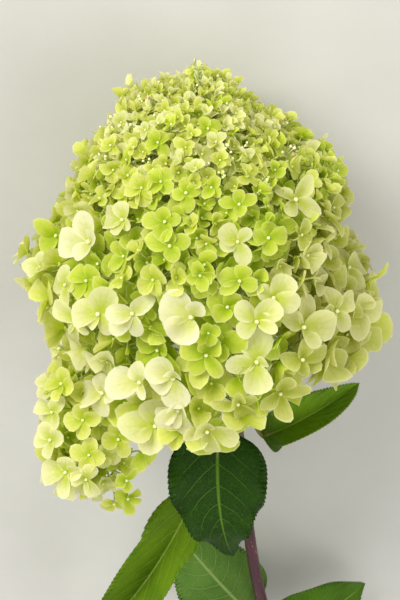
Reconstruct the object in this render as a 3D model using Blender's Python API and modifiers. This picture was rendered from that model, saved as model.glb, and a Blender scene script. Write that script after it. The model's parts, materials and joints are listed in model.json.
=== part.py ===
"""A cut flowering branch of panicle hydrangea, lying on its back.

One purple stem runs from its cut foot, which touches the floor, up into a broad flower head that rests
on its flattened back. The head is a panicle: whorls of three side branches leave the stem, each turned
by a sixth of a turn from the last, and each ends in a rounded mass of four-petalled blossom. Five leaves
hang on the stem, three under the head and two near the foot.

Units are metres. +Y runs from the foot to the tip of the head, +X to the viewer's right, and +Z up.
While it grows, the head's base is at x = y = 0 and the floor at z = 0. At the end the whole branch is
moved so that the middle of its footprint is the origin.
"""

import math
import random

import bmesh
import bpy
from mathutils import Matrix, Quaternion, Vector
from mathutils.bvhtree import BVHTree

# The head
HEAD_LENGTH = 0.161
HEAD_RADIUS = 0.082
DOME_LENGTH = 0.106
DOME_POWER = 0.47
BASE_DRAW_IN = 0.10
AXIS_HEIGHT = 0.072
AXIS_LEAN = -0.094

# Its lumps and hollows: how far along and round the middle of each is, its reach, length and width
SWELLS = {
    "left shoulder": (0.074, math.radians(180), 0.011, 0.022, math.radians(40)),
    "right hollow": (0.090, math.radians(5), -0.010, 0.020, math.radians(40)),
    "right lobe": (0.048, math.radians(10), 0.004, 0.022, math.radians(30)),
    "left notch": (0.030, math.radians(165), -0.008, 0.014, math.radians(30)),
}

# Its lower rim, which is drawn up on the right of the front
RIM_LOW, RIM_HIGH = 0.014, 0.034
RIM_MIDDLE, RIM_WIDTH = math.radians(30), math.radians(45)

# The whorls of side branches, each with a mass of blossom at its end
WHORLS = 7
BRANCHES_A_WHORL = 3
FIRST_TURN = math.radians(105)
ATTACH_FIRST, ATTACH_STEP = -0.002, 0.0175
CENTRE_FIRST, CENTRE_STEP = 0.019, 0.0182
RIM_SHARE = 0.7
MASS_DEPTH_LOW, MASS_DEPTH_HIGH = 0.030, 0.024
CORE_RADIUS_LOW, CORE_RADIUS_HIGH = 0.0115, 0.0080
TIP_ALONG = 0.137

# The two long lower branches on the left carry lobes that hang below the head: how far along the stem
# and how far round it each leaves, the middle of its mass, and the mass's reach
LOBES = {
    "lobe_upper": (0.006, math.radians(172), Vector((-0.066, 0.012, 0.096)), 0.026),
    "lobe_lower": (-0.009, math.radians(160), Vector((-0.069, -0.018, 0.099)), 0.031),
}
LOBE_CAP_ANGLE = math.radians(125)
LOBE_BLOSSOMS = 12
LOBE_SINK = 0.4
LOBE_SPACE = 0.035
HANGING_BLOSSOMS = (Vector((-0.050, -0.051, 0.096)), Vector((-0.060, -0.057, 0.090)))

# Lobes and hanging blossoms are as large as the blossom this far along the head
LOBE_SIZE_ALONG, HANGING_SIZE_ALONG = 0.060, 0.080

# Blossom: each petal has three corners, given as reach, lift and swing round the middle
PETALS = 4
PETAL_CORNERS = ((0.47, 0.0, 0), (0.98, 1.0, -0.19), (0.98, 1.0, 0.19))
BLOSSOM_RADIUS_LOW, BLOSSOM_RADIUS_HIGH = 0.0158, 0.0098
BLOSSOM_GRADE = 1.5
BLOSSOM_CUP = 0.18
BLOSSOM_THICKNESS = 0.09

# Its spacing on the head, in blossom radii, and how far each one may stray
PITCH = 1.38
ROW_PITCH = 0.87
RIM_MARGIN = 0.3
PLACE_JITTER = 0.12
FACING_JITTER = 0.28
MOST_TILT = math.radians(52)

# The depths, sizes and turns that are tried for each blossom until it is clear of its neighbours
DEPTHS = (0.0, 0.0025, 0.005, 0.008, 0.011)
SIZES = (1.0, 0.88, 0.76)
SPINS = 3
SEED = 7

# Its stalk, and the neck that carries a whole mass
STALK_RADIUS = 0.0010
STALK_NECK = 0.8
STALK_SIDES = 3
LEAST_FORK = math.radians(15)
NECK_LENGTH = 0.005
NECK_SIDES = 5

# The stem: points from the cut foot to the head's base
STEM_LINE = (
    Vector((0.0360, -0.225, 0.0034)),
    Vector((0.0250, -0.178, 0.0210)),
    Vector((0.0170, -0.135, 0.0370)),
    Vector((0.0115, -0.090, 0.0520)),
    Vector((0.0085, -0.050, 0.0640)),
    Vector((0.0040, -0.016, 0.0705)),
)
STEM_END_ALONG = 0.126
STEM_SHARES_INSIDE = (0.2, 0.5, 1.0)
STEM_STEPS = 4
STEM_RADIUS_FOOT, STEM_RADIUS_TIP = 0.0033, 0.0013
NODE_SWELL, NODE_LENGTH = 0.35, 0.006
UPPER_NODE_Y, MIDDLE_NODE_Y, LOWER_NODE_Y = -0.018, -0.040, -0.178

# Side branches: each leaves the stem squarely, bends at a knee, arches and runs straight into its mass
BRANCH_RADIUS_FOOT, BRANCH_RADIUS_TIP = 0.0017, 0.0012
BRANCH_KNEE_OUT, BRANCH_KNEE_AHEAD = 0.006, 0.001
BRANCH_ARCH = 0.002
BRANCH_RUN_IN = 0.008
BRANCH_SWEEP = 0.004

# The seam between a limb and what carries it, what blossom keeps clear of its neighbours, and how far
# round a new blossom its neighbours are looked for
GAP = 0.00035
CLEARANCE = 0.0004
NEAR = 0.055
WELD = 0.00001

# The steps that slopes and distances are measured with
NORMAL_STEP = 0.002
WALK_STEP = 0.0005
MIDRIB_STEP = 0.01
SHARP_EDGE = math.radians(50)

# Leaves: the node on the stem and the way round it, the start, crown and tip of the blade,
# half its width, the fold at the midrib and the roll about it
LEAVES = {
    "leaf_front": {
        "node": UPPER_NODE_Y,
        "around": 85,
        "midrib": ((-0.005, -0.015, 0.088), (-0.004, -0.055, 0.101), (0.003, -0.103, 0.062)),
        "half_width": 0.0240,
        "fold": 12,
        "roll": 0,
    },
    "leaf_left": {
        "node": MIDDLE_NODE_Y,
        "around": 200,
        "midrib": ((-0.015, -0.062, 0.064), (-0.044, -0.120, 0.066), (-0.078, -0.178, 0.036)),
        "half_width": 0.0230,
        "fold": 55,
        "roll": 20,
    },
    "leaf_right": {
        "node": UPPER_NODE_Y,
        "around": 335,
        "midrib": ((0.018, -0.030, 0.066), (0.040, -0.016, 0.071), (0.068, -0.010, 0.046)),
        "half_width": 0.0170,
        "fold": 50,
        "roll": -35,
    },
    "leaf_low_left": {
        "node": LOWER_NODE_Y,
        "around": 165,
        "midrib": ((0.014, -0.170, 0.021), (-0.005, -0.147, 0.022), (-0.031, -0.120, 0.008)),
        "half_width": 0.0250,
        "fold": 5,
        "roll": 6,
    },
    "leaf_low_right": {
        "node": LOWER_NODE_Y,
        "around": 15,
        "midrib": ((0.034, -0.174, 0.024), (0.055, -0.161, 0.034), (0.080, -0.157, 0.012)),
        "half_width": 0.0210,
        "fold": 16,
        "roll": -4,
    },
}
LEAF_THICKNESS_SHARE = 0.0110
LEAF_STEPS_LONG, LEAF_STEPS_WIDE = 14, 4
LEAF_BASE_POWER, LEAF_TIP_POWER = 0.70, 1.05
LEAF_NARROWEST = 0.07
LEAF_FOLD_RISE = 4
PETIOLE_RADIUS = 0.0014
PETIOLE_TAPER = (1.0, 1.0, 0.9, 0.8)
PETIOLE_INTO_BLADE = 0.006
PETIOLE_SQUARE = 0.003

MATERIALS = {
    "stem_bark": ((0.075, 0.012, 0.025), 0.45),
    "branch_green": ((0.46, 0.56, 0.16), 0.60),
    "blossom": ((0.62, 0.72, 0.22), 0.60),
    "leaf": ((0.06, 0.16, 0.02), 0.50),
}


def clear_scene():
    for obj in list(bpy.data.objects):
        bpy.data.objects.remove(obj)


def make_materials():
    made = {}
    for name, (colour, roughness) in MATERIALS.items():
        material = bpy.data.materials.new(name)
        material.use_nodes = True
        shader = material.node_tree.nodes["Principled BSDF"]
        shader.inputs["Base Color"].default_value = (*colour, 1)
        shader.inputs["Roughness"].default_value = roughness
        shader.inputs["Metallic"].default_value = 0
        made[name] = material
    return made


# Where things are in the head


def rachis(along):
    """The point on the head's axis at this distance from its base."""
    return Vector((AXIS_LEAN * along, along, AXIS_HEIGHT))


def radial(around):
    """The direction out of the axis at this angle: 0 to the right, a quarter turn up."""
    return Vector((math.cos(around), 0, math.sin(around)))


def turn_between(one, other):
    """The angle between two directions round the axis, less than half a turn."""
    return abs((one - other + math.pi) % math.tau - math.pi)


def head_radius(along, around):
    """From the axis to the head's surface: a blunt dome on a barrel, with its lumps and hollows."""
    from_tip = max(HEAD_LENGTH - along, 0)
    if from_tip < DOME_LENGTH:
        share = (1 - (1 - from_tip / DOME_LENGTH) ** 2) ** DOME_POWER
    else:
        share = 1 - BASE_DRAW_IN * ((from_tip - DOME_LENGTH) / (HEAD_LENGTH - DOME_LENGTH)) ** 2
    radius = HEAD_RADIUS * share
    for at, turn, reach, length, width in SWELLS.values():
        radius += reach * math.exp(-(((along - at) / length) ** 2) - (turn_between(around, turn) / width) ** 2)
    return radius


def rim(around):
    """How far along the axis the blossom starts, on this side of the head."""
    return between(RIM_LOW, RIM_HIGH, math.exp(-((turn_between(around, RIM_MIDDLE) / RIM_WIDTH) ** 4)))


def head_reach(along, around):
    """The same, but the head's back lies flat on the floor."""
    down = -math.sin(around)
    flat = AXIS_HEIGHT / down if down > 0 else math.inf
    return min(head_radius(along, around), flat)


def head_surface(along, around):
    return rachis(along) + head_reach(along, around) * radial(around)


def head_normal(along, around):
    """The direction out of the head's surface."""
    ahead = head_surface(along + NORMAL_STEP, around) - head_surface(along - NORMAL_STEP, around)
    turn = NORMAL_STEP / HEAD_RADIUS
    aside = head_surface(along, around + turn) - head_surface(along, around - turn)
    return ahead.cross(aside).normalized()


def between(low, high, share):
    return low + (high - low) * max(0, min(1, share))


def smooth_line(knots, steps):
    """A Catmull-Rom curve through the knots, with this many steps between each two."""
    ends = [2 * knots[0] - knots[1], *knots, 2 * knots[-1] - knots[-2]]
    line = []
    for before, start, end, after in zip(ends, ends[1:], ends[2:], ends[3:]):
        for step in range(steps):
            t = step / steps
            line.append(
                0.5
                * (
                    2 * start
                    + (end - before) * t
                    + (2 * before - 5 * start + 4 * end - after) * t**2
                    + (3 * start - before - 3 * end + after) * t**3
                )
            )
    return [*line, knots[-1].copy()]


def stem_line():
    inside = [rachis(STEM_END_ALONG * share) for share in STEM_SHARES_INSIDE]
    return smooth_line([*STEM_LINE, *inside], STEM_STEPS)


def stem_radius(y):
    """The taper from foot to tip, with a swelling at each leaf node."""
    foot = STEM_LINE[0].y
    taper = between(STEM_RADIUS_FOOT, STEM_RADIUS_TIP, ((y - foot) / (STEM_END_ALONG - foot)) ** 2)
    nodes = sum(math.exp(-(((y - at) / NODE_LENGTH) ** 2)) for at in (UPPER_NODE_Y, MIDDLE_NODE_Y, LOWER_NODE_Y))
    return taper * (1 + NODE_SWELL * nodes)


def stem_at(y):
    """The point of the stem's middle line at this y, and the stem's direction there."""
    line = stem_line()
    for low, high in zip(line, line[1:]):
        if low.y <= y <= high.y:
            return low.lerp(high, (y - low.y) / (high.y - low.y)), (high - low).normalized()
    return line[-1], (line[-1] - line[-2]).normalized()


def off_stem(y, around):
    """Where a limb leaves the stem, just clear of its surface, and its direction, square to the stem."""
    middle, ahead = stem_at(y)
    out = radial(around)
    out = (out - out.dot(ahead) * ahead).normalized()
    return middle + (stem_radius(y) + GAP) * out, out


class Mass:
    """One rounded mass of blossom: the limb that carries it, its middle and its core."""

    def __init__(self, name, attach, around, centre, core_radius):
        self.name = name
        self.attach = attach
        self.around = around
        self.centre = centre
        self.core_radius = core_radius


def head_masses():
    """Every mass of the head: the whorls from base to tip, the lobes, and the one at the tip."""
    masses = []
    for whorl in range(WHORLS):
        share = whorl / (WHORLS - 1)
        for k in range(BRANCHES_A_WHORL):
            around = FIRST_TURN + math.tau * (k / BRANCHES_A_WHORL + whorl / (2 * BRANCHES_A_WHORL))
            along = CENTRE_FIRST + whorl * CENTRE_STEP + RIM_SHARE * (1 - share) * (rim(around) - RIM_LOW)
            out = head_reach(along, around) - between(MASS_DEPTH_LOW, MASS_DEPTH_HIGH, share)
            centre = rachis(along) + out * radial(around)
            core = between(CORE_RADIUS_LOW, CORE_RADIUS_HIGH, share)
            attach = ATTACH_FIRST + whorl * ATTACH_STEP
            if min((centre - lobe[2]).length for lobe in LOBES.values()) > LOBE_SPACE:
                masses.append(Mass(f"{whorl + 1}{'abc'[k]}", attach, around, centre, core))
    for name, (attach, around, centre, reach) in LOBES.items():
        masses.append(Mass(name, attach, around, centre, CORE_RADIUS_HIGH))
    return [*masses, Mass("tip", STEM_END_ALONG, 0, rachis(TIP_ALONG), CORE_RADIUS_HIGH)]


# Meshes and objects


def new_object(name, mesh, material, collection):
    obj = bpy.data.objects.new(name, mesh)
    mesh.materials.clear()
    mesh.materials.append(material)
    collection.objects.link(obj)
    return obj


def mesh_from(bm, name):
    mesh = bpy.data.meshes.new(name)
    bm.to_mesh(mesh)
    bm.free()
    return mesh


def tube(name, points, radii, resolution, material, collection):
    """A round limb along points, with a radius at each."""
    curve = bpy.data.curves.new(name, "CURVE")
    curve.dimensions = "3D"
    curve.bevel_depth = 1.0
    curve.bevel_resolution = resolution
    curve.use_fill_caps = True
    spline = curve.splines.new("POLY")
    spline.points.add(len(points) - 1)
    for knot, point, radius in zip(spline.points, points, radii):
        knot.co = (*point, 1)
        knot.radius = radius
    curve.materials.append(material)
    obj = bpy.data.objects.new(name, curve)
    collection.objects.link(obj)
    return obj


def tube_as_mesh(name, points, radii, resolution, material, collection):
    """The same limb as a mesh, its caps welded on, for a Boolean."""
    curve = tube(name, points, radii, resolution, material, collection)
    mesh = bpy.data.meshes.new_from_object(curve.evaluated_get(bpy.context.evaluated_depsgraph_get()))
    bpy.data.objects.remove(curve)
    bm = bmesh.new()
    bm.from_mesh(mesh)
    bpy.data.meshes.remove(mesh)
    bmesh.ops.remove_doubles(bm, verts=bm.verts, dist=WELD)
    return new_object(name, mesh_from(bm, name), material, collection)


def rod(start, end, radius_start, radius_end, sides):
    """A straight closed rod between two points, as a bmesh."""
    bm = bmesh.new()
    length = (end - start).length
    bmesh.ops.create_cone(
        bm, cap_ends=True, cap_tris=False, segments=sides, radius1=radius_start, radius2=radius_end, depth=length
    )
    turn = (end - start).to_track_quat("Z", "Y").to_matrix().to_4x4()
    bmesh.ops.transform(bm, matrix=Matrix.Translation((start + end) / 2) @ turn, verts=bm.verts)
    return bm


def facing_matrix(centre, facing, spin):
    """Carries a shape that looks along +Z at the origin to this place and direction."""
    turn = facing.to_track_quat("Z", "Y").to_matrix().to_4x4()
    return Matrix.Translation(centre) @ turn @ Matrix.Rotation(spin, 4, "Z")


def blossom(radius, matrix):
    """Four petals in a shallow cup, from a flattened sphere whose one ring is drawn out into petals."""
    bm = bmesh.new()
    corners = len(PETAL_CORNERS)
    bmesh.ops.create_uvsphere(bm, u_segments=corners * PETALS, v_segments=2, radius=1)
    for vert in bm.verts:
        if math.hypot(vert.co.x, vert.co.y) < 0.5:
            side = math.copysign(1, vert.co.z)
            vert.co = Vector((0, 0, side * BLOSSOM_THICKNESS / 2 * radius))
            continue
        around = math.atan2(vert.co.y, vert.co.x)
        reach, lift, swing = PETAL_CORNERS[round(around / (math.tau / (corners * PETALS))) % corners]
        flat = reach * radius * Vector((math.cos(around + swing), math.sin(around + swing), 0))
        vert.co = flat + Vector((0, 0, lift * BLOSSOM_CUP * radius))
    bmesh.ops.transform(bm, matrix=matrix, verts=bm.verts)
    return bm


def back_of(bm, foot):
    """The pole of a blossom that lies nearer to the foot of its stalk."""
    poles = [vert for vert in bm.verts if len(vert.link_edges) == len(PETAL_CORNERS) * PETALS]
    return min(poles, key=lambda vert: (vert.co - foot).length)


def with_stalk(bm, foot):
    """Draws the blossom's back out into a three-sided stalk down to the foot, as one closed shape."""
    back = back_of(bm, foot)
    end = back.co.copy()
    bmesh.ops.delete(bm, geom=[back], context="VERTS")
    turn = (end - foot).to_track_quat("Z", "Y").to_matrix().to_4x4()
    made = bmesh.ops.create_cone(
        bm,
        cap_ends=True,
        segments=STALK_SIDES,
        radius1=STALK_RADIUS,
        radius2=STALK_NECK * STALK_RADIUS,
        depth=(end - foot).length,
        matrix=Matrix.Translation((foot + end) / 2) @ turn,
    )
    ring = sorted(made["verts"], key=lambda vert: (vert.co - end).length)[:STALK_SIDES]
    cap = [face for face in bm.faces if set(face.verts) == set(ring)]
    bmesh.ops.delete(bm, geom=cap, context="FACES_ONLY")
    bmesh.ops.bridge_loops(bm, edges=[edge for edge in bm.edges if edge.is_boundary])
    bmesh.ops.recalc_face_normals(bm, faces=bm.faces)
    return bm


# Growing the masses


def blossom_radius(along):
    """Large at the base of the head, and smaller toward its tip."""
    return between(BLOSSOM_RADIUS_LOW, BLOSSOM_RADIUS_HIGH, (max(along, 0) / HEAD_LENGTH) ** BLOSSOM_GRADE)


def head_spots(rng):
    """Places for blossom all over the head's surface, in rows from the base to the tip."""
    along, row = RIM_LOW, 0
    while along < HEAD_LENGTH:
        pitch = PITCH * blossom_radius(along)
        count = max(1, round(math.tau * head_radius(along, math.pi / 2) / pitch))
        for k in range(count):
            around = math.tau * (k + row / 2 + rng.uniform(-PLACE_JITTER, PLACE_JITTER)) / count
            place = along + rng.uniform(-PLACE_JITTER, PLACE_JITTER) * pitch
            if place > rim(around) - RIM_MARGIN * pitch:
                yield head_surface(place, around), head_normal(place, around), blossom_radius(along)
        row += 1
        walked = 0
        while walked < ROW_PITCH * pitch and along < HEAD_LENGTH:
            walked += (head_surface(along + WALK_STEP, math.pi / 2) - head_surface(along, math.pi / 2)).length
            along += WALK_STEP
    yield rachis(HEAD_LENGTH), Vector((0, 1, 0)), blossom_radius(HEAD_LENGTH)


def lobe_spots(centre, reach):
    """Places for blossom round a lobe, on the side that faces away from the head."""
    out = centre - rachis(centre.y + reach)
    golden = math.pi * (3 - math.sqrt(5))
    to_out = out.to_track_quat("Z", "Y")
    radius = blossom_radius(LOBE_SIZE_ALONG)
    for index in range(LOBE_BLOSSOMS):
        height = 1 - (1 - math.cos(LOBE_CAP_ANGLE)) * (index + 0.5) / LOBE_BLOSSOMS
        ring = math.sqrt(max(0, 1 - height * height))
        direction = to_out @ Vector((ring * math.cos(index * golden), ring * math.sin(index * golden), height))
        yield centre + (reach - LOBE_SINK * radius) * direction, direction, radius


def hanging_spots():
    """Places for the few blossoms that hang on long stalks under the lower lobe."""
    middle = LOBES["lobe_lower"][2]
    for place in HANGING_BLOSSOMS:
        yield place, (place - middle).normalized(), blossom_radius(HANGING_SIZE_ALONG)


def outline_of(bm):
    """What clearances are measured on: a shape's surface and its points."""
    return BVHTree.FromBMesh(bm), [vert.co.copy() for vert in bm.verts]


def near_surface(points, tree):
    return any(tree.find_nearest(point, CLEARANCE)[0] is not None for point in points)


def clear_of(outline, others):
    """True if this shape keeps its distance from all the others."""
    tree, points = outline
    for other_tree, other_points in others:
        if tree.overlap(other_tree) or near_surface(points, other_tree) or near_surface(other_points, tree):
            return False
    return True


def tilted(facing, stalk):
    """The facing, turned toward the line of the stalk as far as it leans too far from it."""
    if facing.angle(stalk) > MOST_TILT:
        facing = Quaternion(stalk.cross(facing), MOST_TILT) @ stalk
    return facing.normalized()


def lift_off_floor(bm):
    """Raises a blossom that would sink into the floor until it lies on it."""
    lowest = min(vert.co.z for vert in bm.verts)
    if lowest < 0:
        bmesh.ops.translate(bm, vec=Vector((0, 0, -lowest)), verts=bm.verts)


def core_of(mass):
    core = bmesh.new()
    bmesh.ops.create_icosphere(core, subdivisions=1, radius=mass.core_radius)
    bmesh.ops.translate(core, vec=mass.centre, verts=core.verts)
    return core


def neck_of(mass):
    """The mass's own short stem, from just clear of its branch to the middle of its core."""
    foot = branch_tip(mass) + GAP * branch_direction(mass)
    return rod(foot, mass.centre, BRANCH_RADIUS_TIP, BRANCH_RADIUS_TIP, NECK_SIDES)


class Head:
    """The blossom as it grows: the shapes of each mass, and what a new shape must keep clear of."""

    def __init__(self, masses, limbs):
        self.masses = masses
        self.limbs = limbs
        self.shapes = {mass.name: [] for mass in masses}
        self.lines = {mass.name: [] for mass in masses}
        self.blossoms = []
        self.stalks = []
        for mass in masses:
            for make in (core_of, neck_of):
                bm = make(mass)
                self.stalks.append((mass.name, mass.centre, outline_of(bm)))
                bm.free()

    def blossoms_near(self, centre, reach):
        return [outline for middle, outline in self.blossoms if (middle - centre).length < reach]

    def stalks_near(self, centre, reach, own=""):
        """Stalks, cores and necks near here, those of a mass's own left out where it is named."""
        return [
            outline
            for name, middle, outline in self.stalks
            if name != own and (middle - centre).length < reach
        ]

    def add(self, place, normal, full_radius, rng):
        """Sets one blossom on its stalk as far out and as large as its neighbours allow."""
        mass = min(self.masses, key=lambda one: (one.centre - place).length)
        jitter = Vector([rng.uniform(-1, 1) for axis in range(3)]) * FACING_JITTER
        facing = tilted(normal + jitter, place - mass.centre)
        first_spin = rng.uniform(0, math.tau / PETALS)
        obstacles = [*self.limbs, *self.blossoms_near(place, NEAR), *self.stalks_near(place, 2 * NEAR)]
        for size in SIZES:
            for depth in DEPTHS:
                for turn in range(SPINS):
                    spin = first_spin + turn * math.tau / PETALS / SPINS
                    matrix = facing_matrix(place - depth * normal, facing, spin)
                    shape = blossom(size * full_radius, matrix)
                    lift_off_floor(shape)
                    if clear_of(outline_of(shape), obstacles) and self.add_stalk(mass, shape):
                        return
                    shape.free()

    def add_stalk(self, mass, shape):
        """Grows the stalk from the mass's core into the blossom's back, if nothing is in its way."""
        end = back_of(shape, mass.centre).co.copy()
        middle = (end + mass.centre) / 2
        line = end - mass.centre
        if any(line.angle(other) < LEAST_FORK for other in self.lines[mass.name]):
            return False
        alone = outline_of(shape)
        with_stalk(shape, mass.centre)
        obstacles = [*self.blossoms_near(middle, NEAR), *self.stalks_near(middle, 2 * NEAR, own=mass.name)]
        if not clear_of(outline_of(shape), [*self.limbs, *obstacles]):
            return False
        stalk = rod(mass.centre, end, STALK_RADIUS, STALK_NECK * STALK_RADIUS, STALK_SIDES)
        self.lines[mass.name].append(line)
        self.blossoms.append((end, alone))
        self.stalks.append((mass.name, middle, outline_of(stalk)))
        stalk.free()
        self.shapes[mass.name].append(mesh_from(shape, "blossom"))
        return True


def make_mass(mass, shapes, material, collection):
    """One solid: the core on its short stem, and the blossom that stands out of it on thin stalks."""
    parts = bpy.data.collections.new(f"shapes of {mass.name}")
    bpy.context.scene.collection.children.link(parts)
    for mesh in [mesh_from(neck_of(mass), "neck"), *shapes]:
        new_object("shape", mesh, material, parts)
    whole = new_object(f"blossom_{mass.name}", mesh_from(core_of(mass), mass.name), material, collection)
    join(whole, parts)


def join(whole, parts):
    """Joins every shape of the collection to the object, applies the union and drops the shapes."""
    union = whole.modifiers.new("join", "BOOLEAN")
    union.operation = "UNION"
    union.operand_type = "COLLECTION"
    union.collection = parts
    graph = bpy.context.evaluated_depsgraph_get()
    joined = bpy.data.meshes.new_from_object(whole.evaluated_get(graph))
    whole.modifiers.clear()
    whole.data = joined
    for shape in list(parts.objects):
        bpy.data.objects.remove(shape)
    bpy.data.collections.remove(parts)
    keep_largest_body(whole)


def keep_largest_body(obj):
    """Closes up what the union left thinner than the weld, and drops any loose scrap."""
    bm = bmesh.new()
    bm.from_mesh(obj.data)
    bmesh.ops.triangulate(bm, faces=bm.faces)
    bmesh.ops.dissolve_degenerate(bm, dist=WELD, edges=bm.edges)
    left = set(bm.verts)
    bodies = []
    while left:
        body, front = set(), [left.pop()]
        while front:
            vert = front.pop()
            body.add(vert)
            for edge in vert.link_edges:
                other = edge.other_vert(vert)
                if other in left:
                    left.remove(other)
                    front.append(other)
        bodies.append(body)
    bodies.sort(key=len)
    for scrap in bodies[:-1]:
        bmesh.ops.delete(bm, geom=list(scrap), context="VERTS")
    bm.to_mesh(obj.data)
    bm.free()
    shade_round(obj.data)


def shade_round(mesh):
    """Shades a mesh smooth, except over its sharp edges."""
    mesh.shade_smooth()
    mesh.set_sharp_from_angle(angle=SHARP_EDGE)


# The limbs


def branch_direction(mass):
    """The way a side branch runs as it meets its mass."""
    if mass.name == "tip":
        return (mass.centre - rachis(STEM_END_ALONG)).normalized()
    start = off_stem(mass.attach, mass.around)[0]
    return (mass.centre - start - BRANCH_SWEEP * Vector((0, 1, 0))).normalized()


def branch_tip(mass):
    """The end of the limb that carries this mass: a side branch, or the stem for the mass at the tip."""
    if mass.name == "tip":
        return rachis(STEM_END_ALONG)
    return mass.centre - (mass.core_radius + NECK_LENGTH) * branch_direction(mass)


def side_branch(mass, material, collection):
    """One tapering limb, from clear of the stem to the foot of its mass."""
    start, out = off_stem(mass.attach, mass.around)
    knee = start + BRANCH_KNEE_OUT * out + Vector((0, BRANCH_KNEE_AHEAD, 0))
    tip = branch_tip(mass)
    run_in = tip - BRANCH_RUN_IN * branch_direction(mass)
    middle = knee.lerp(run_in, 0.5) + Vector((0, BRANCH_ARCH, 0))
    points = [start, knee, middle, run_in, tip]
    last = len(points) - 1
    radii = [between(BRANCH_RADIUS_FOOT, BRANCH_RADIUS_TIP, step / last) for step in range(len(points))]
    return tube(f"branch_{mass.name}", points, radii, 1, material, collection)


def stem(material, collection):
    line = stem_line()
    return tube("stem", line, [stem_radius(point.y) for point in line], 2, material, collection)


# Leaves


def leaf_midrib(start, crown, tip, share):
    """A point of the midrib: one arch from the blade's start over its crown to its tip."""
    control = 2 * crown - (start + tip) / 2
    return (1 - share) ** 2 * start + 2 * share * (1 - share) * control + share**2 * tip


def leaf_half_width(share):
    """The blade's half width along the midrib, as a share of the widest."""
    widest = LEAF_BASE_POWER / (LEAF_BASE_POWER + LEAF_TIP_POWER)
    top = widest**LEAF_BASE_POWER * (1 - widest) ** LEAF_TIP_POWER
    return max(LEAF_NARROWEST, share**LEAF_BASE_POWER * (1 - share) ** LEAF_TIP_POWER / top)


def leaf(name, spec, material, collection, guides):
    """A folded, arching blade on its stalk, from a grid that is bent to shape and thickened."""
    start, crown, tip = (Vector(point) for point in spec["midrib"])
    bm = bmesh.new()
    bmesh.ops.create_grid(bm, x_segments=LEAF_STEPS_WIDE, y_segments=LEAF_STEPS_LONG, size=1)
    for vert in bm.verts:
        across, share = vert.co.x, (vert.co.y + 1) / 2
        middle = leaf_midrib(start, crown, tip, share)
        ahead = (leaf_midrib(start, crown, tip, share + MIDRIB_STEP) - middle).normalized()
        side = ahead.cross(Vector((0, 0, 1))).normalized()
        side.rotate(Matrix.Rotation(math.radians(spec["roll"]), 3, ahead))
        up = side.cross(ahead)
        width = spec["half_width"] * leaf_half_width(share) * across
        bend = math.radians(spec["fold"]) * min(1, LEAF_FOLD_RISE * share)
        vert.co = middle + side * width * math.cos(bend) + up * abs(width) * math.sin(bend)
    blade = new_object(name, mesh_from(bm, name), material, collection)
    shade_round(blade.data)
    length = (crown - start).length + (tip - crown).length
    shell = blade.modifiers.new("thickness", "SOLIDIFY")
    shell.thickness = LEAF_THICKNESS_SHARE * length
    shell.offset = 0
    foot, out = off_stem(spec["node"], math.radians(spec["around"]))
    into = leaf_midrib(start, crown, tip, PETIOLE_INTO_BLADE / length)
    points = [foot, foot + PETIOLE_SQUARE * out, start, into]
    radii = [PETIOLE_RADIUS * taper for taper in PETIOLE_TAPER]
    guide = tube_as_mesh(f"stalk of {name}", points, radii, 1, material, guides)
    guide.hide_render = True
    guide.display_type = "WIRE"
    union = blade.modifiers.new("stalk", "BOOLEAN")
    union.operation = "UNION"
    union.object = guide
    return blade


def limb_outline(obj):
    """The outline of a finished limb or leaf, which blossom must keep clear of."""
    mesh = bpy.data.meshes.new_from_object(obj.evaluated_get(bpy.context.evaluated_depsgraph_get()))
    bm = bmesh.new()
    bm.from_mesh(mesh)
    bpy.data.meshes.remove(mesh)
    outline = outline_of(bm)
    bm.free()
    return outline


def set_down(collection, guides):
    """Parents everything to an empty that moves the middle of the branch's footprint to the origin."""
    graph = bpy.context.evaluated_depsgraph_get()
    low, high = Vector((1, 1, 1)), Vector((-1, -1, -1))
    for obj in collection.objects:
        mesh = bpy.data.meshes.new_from_object(obj.evaluated_get(graph))
        for vert in mesh.vertices:
            low = Vector(map(min, low, vert.co))
            high = Vector(map(max, high, vert.co))
        bpy.data.meshes.remove(mesh)
    whole = bpy.data.objects.new("whole_branch", None)
    for obj in [*collection.objects, *guides.objects]:
        obj.parent = whole
    collection.objects.link(whole)
    whole.location = (-(low.x + high.x) / 2, -(low.y + high.y) / 2, -low.z)


def main():
    clear_scene()
    materials = make_materials()
    branch = bpy.data.collections.new("panicle_hydrangea")
    guides = bpy.data.collections.new("guides")
    for collection in (branch, guides):
        bpy.context.scene.collection.children.link(collection)
    masses = head_masses()
    curves = [stem(materials["stem_bark"], branch)]
    for mass in masses:
        if mass.name != "tip":
            curves.append(side_branch(mass, materials["branch_green"], branch))
    blades = [leaf(name, spec, materials["leaf"], branch, guides) for name, spec in LEAVES.items()]
    bpy.context.view_layer.update()
    limbs = [limb_outline(obj) for obj in [*curves, *blades]]
    rng = random.Random(SEED)
    head = Head(masses, limbs)
    for name, (attach, around, centre, reach) in LOBES.items():
        for spot in lobe_spots(centre, reach):
            head.add(*spot, rng)
    for spot in [*hanging_spots(), *head_spots(rng)]:
        head.add(*spot, rng)
    for mass in masses:
        make_mass(mass, head.shapes[mass.name], materials["blossom"], branch)
    set_down(branch, guides)


main()
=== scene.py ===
"""The looks of a cut flowering branch of panicle hydrangea that lies on its back.

The branch grows again by the rule of its solids, in the same frame, and is carried on to finer twigs,
stalks, four-petalled blossom and buds. The largest blossoms of the front are set where the photograph
shows them, through the camera, on the same surface as the rest.

Units are metres. +Y runs from the cut foot to the tip of the head, +X to the viewer's right and +Z up.
While it grows, the head's base is at x = y = 0 and the floor at z = 0; each mesh is moved to the
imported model's frame as it is made.
"""

import json
import math
import random
from collections import namedtuple

import bpy
import numpy as np
from mathutils import Matrix, Quaternion, Vector, noise
from mathutils.bvhtree import BVHTree

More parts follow.
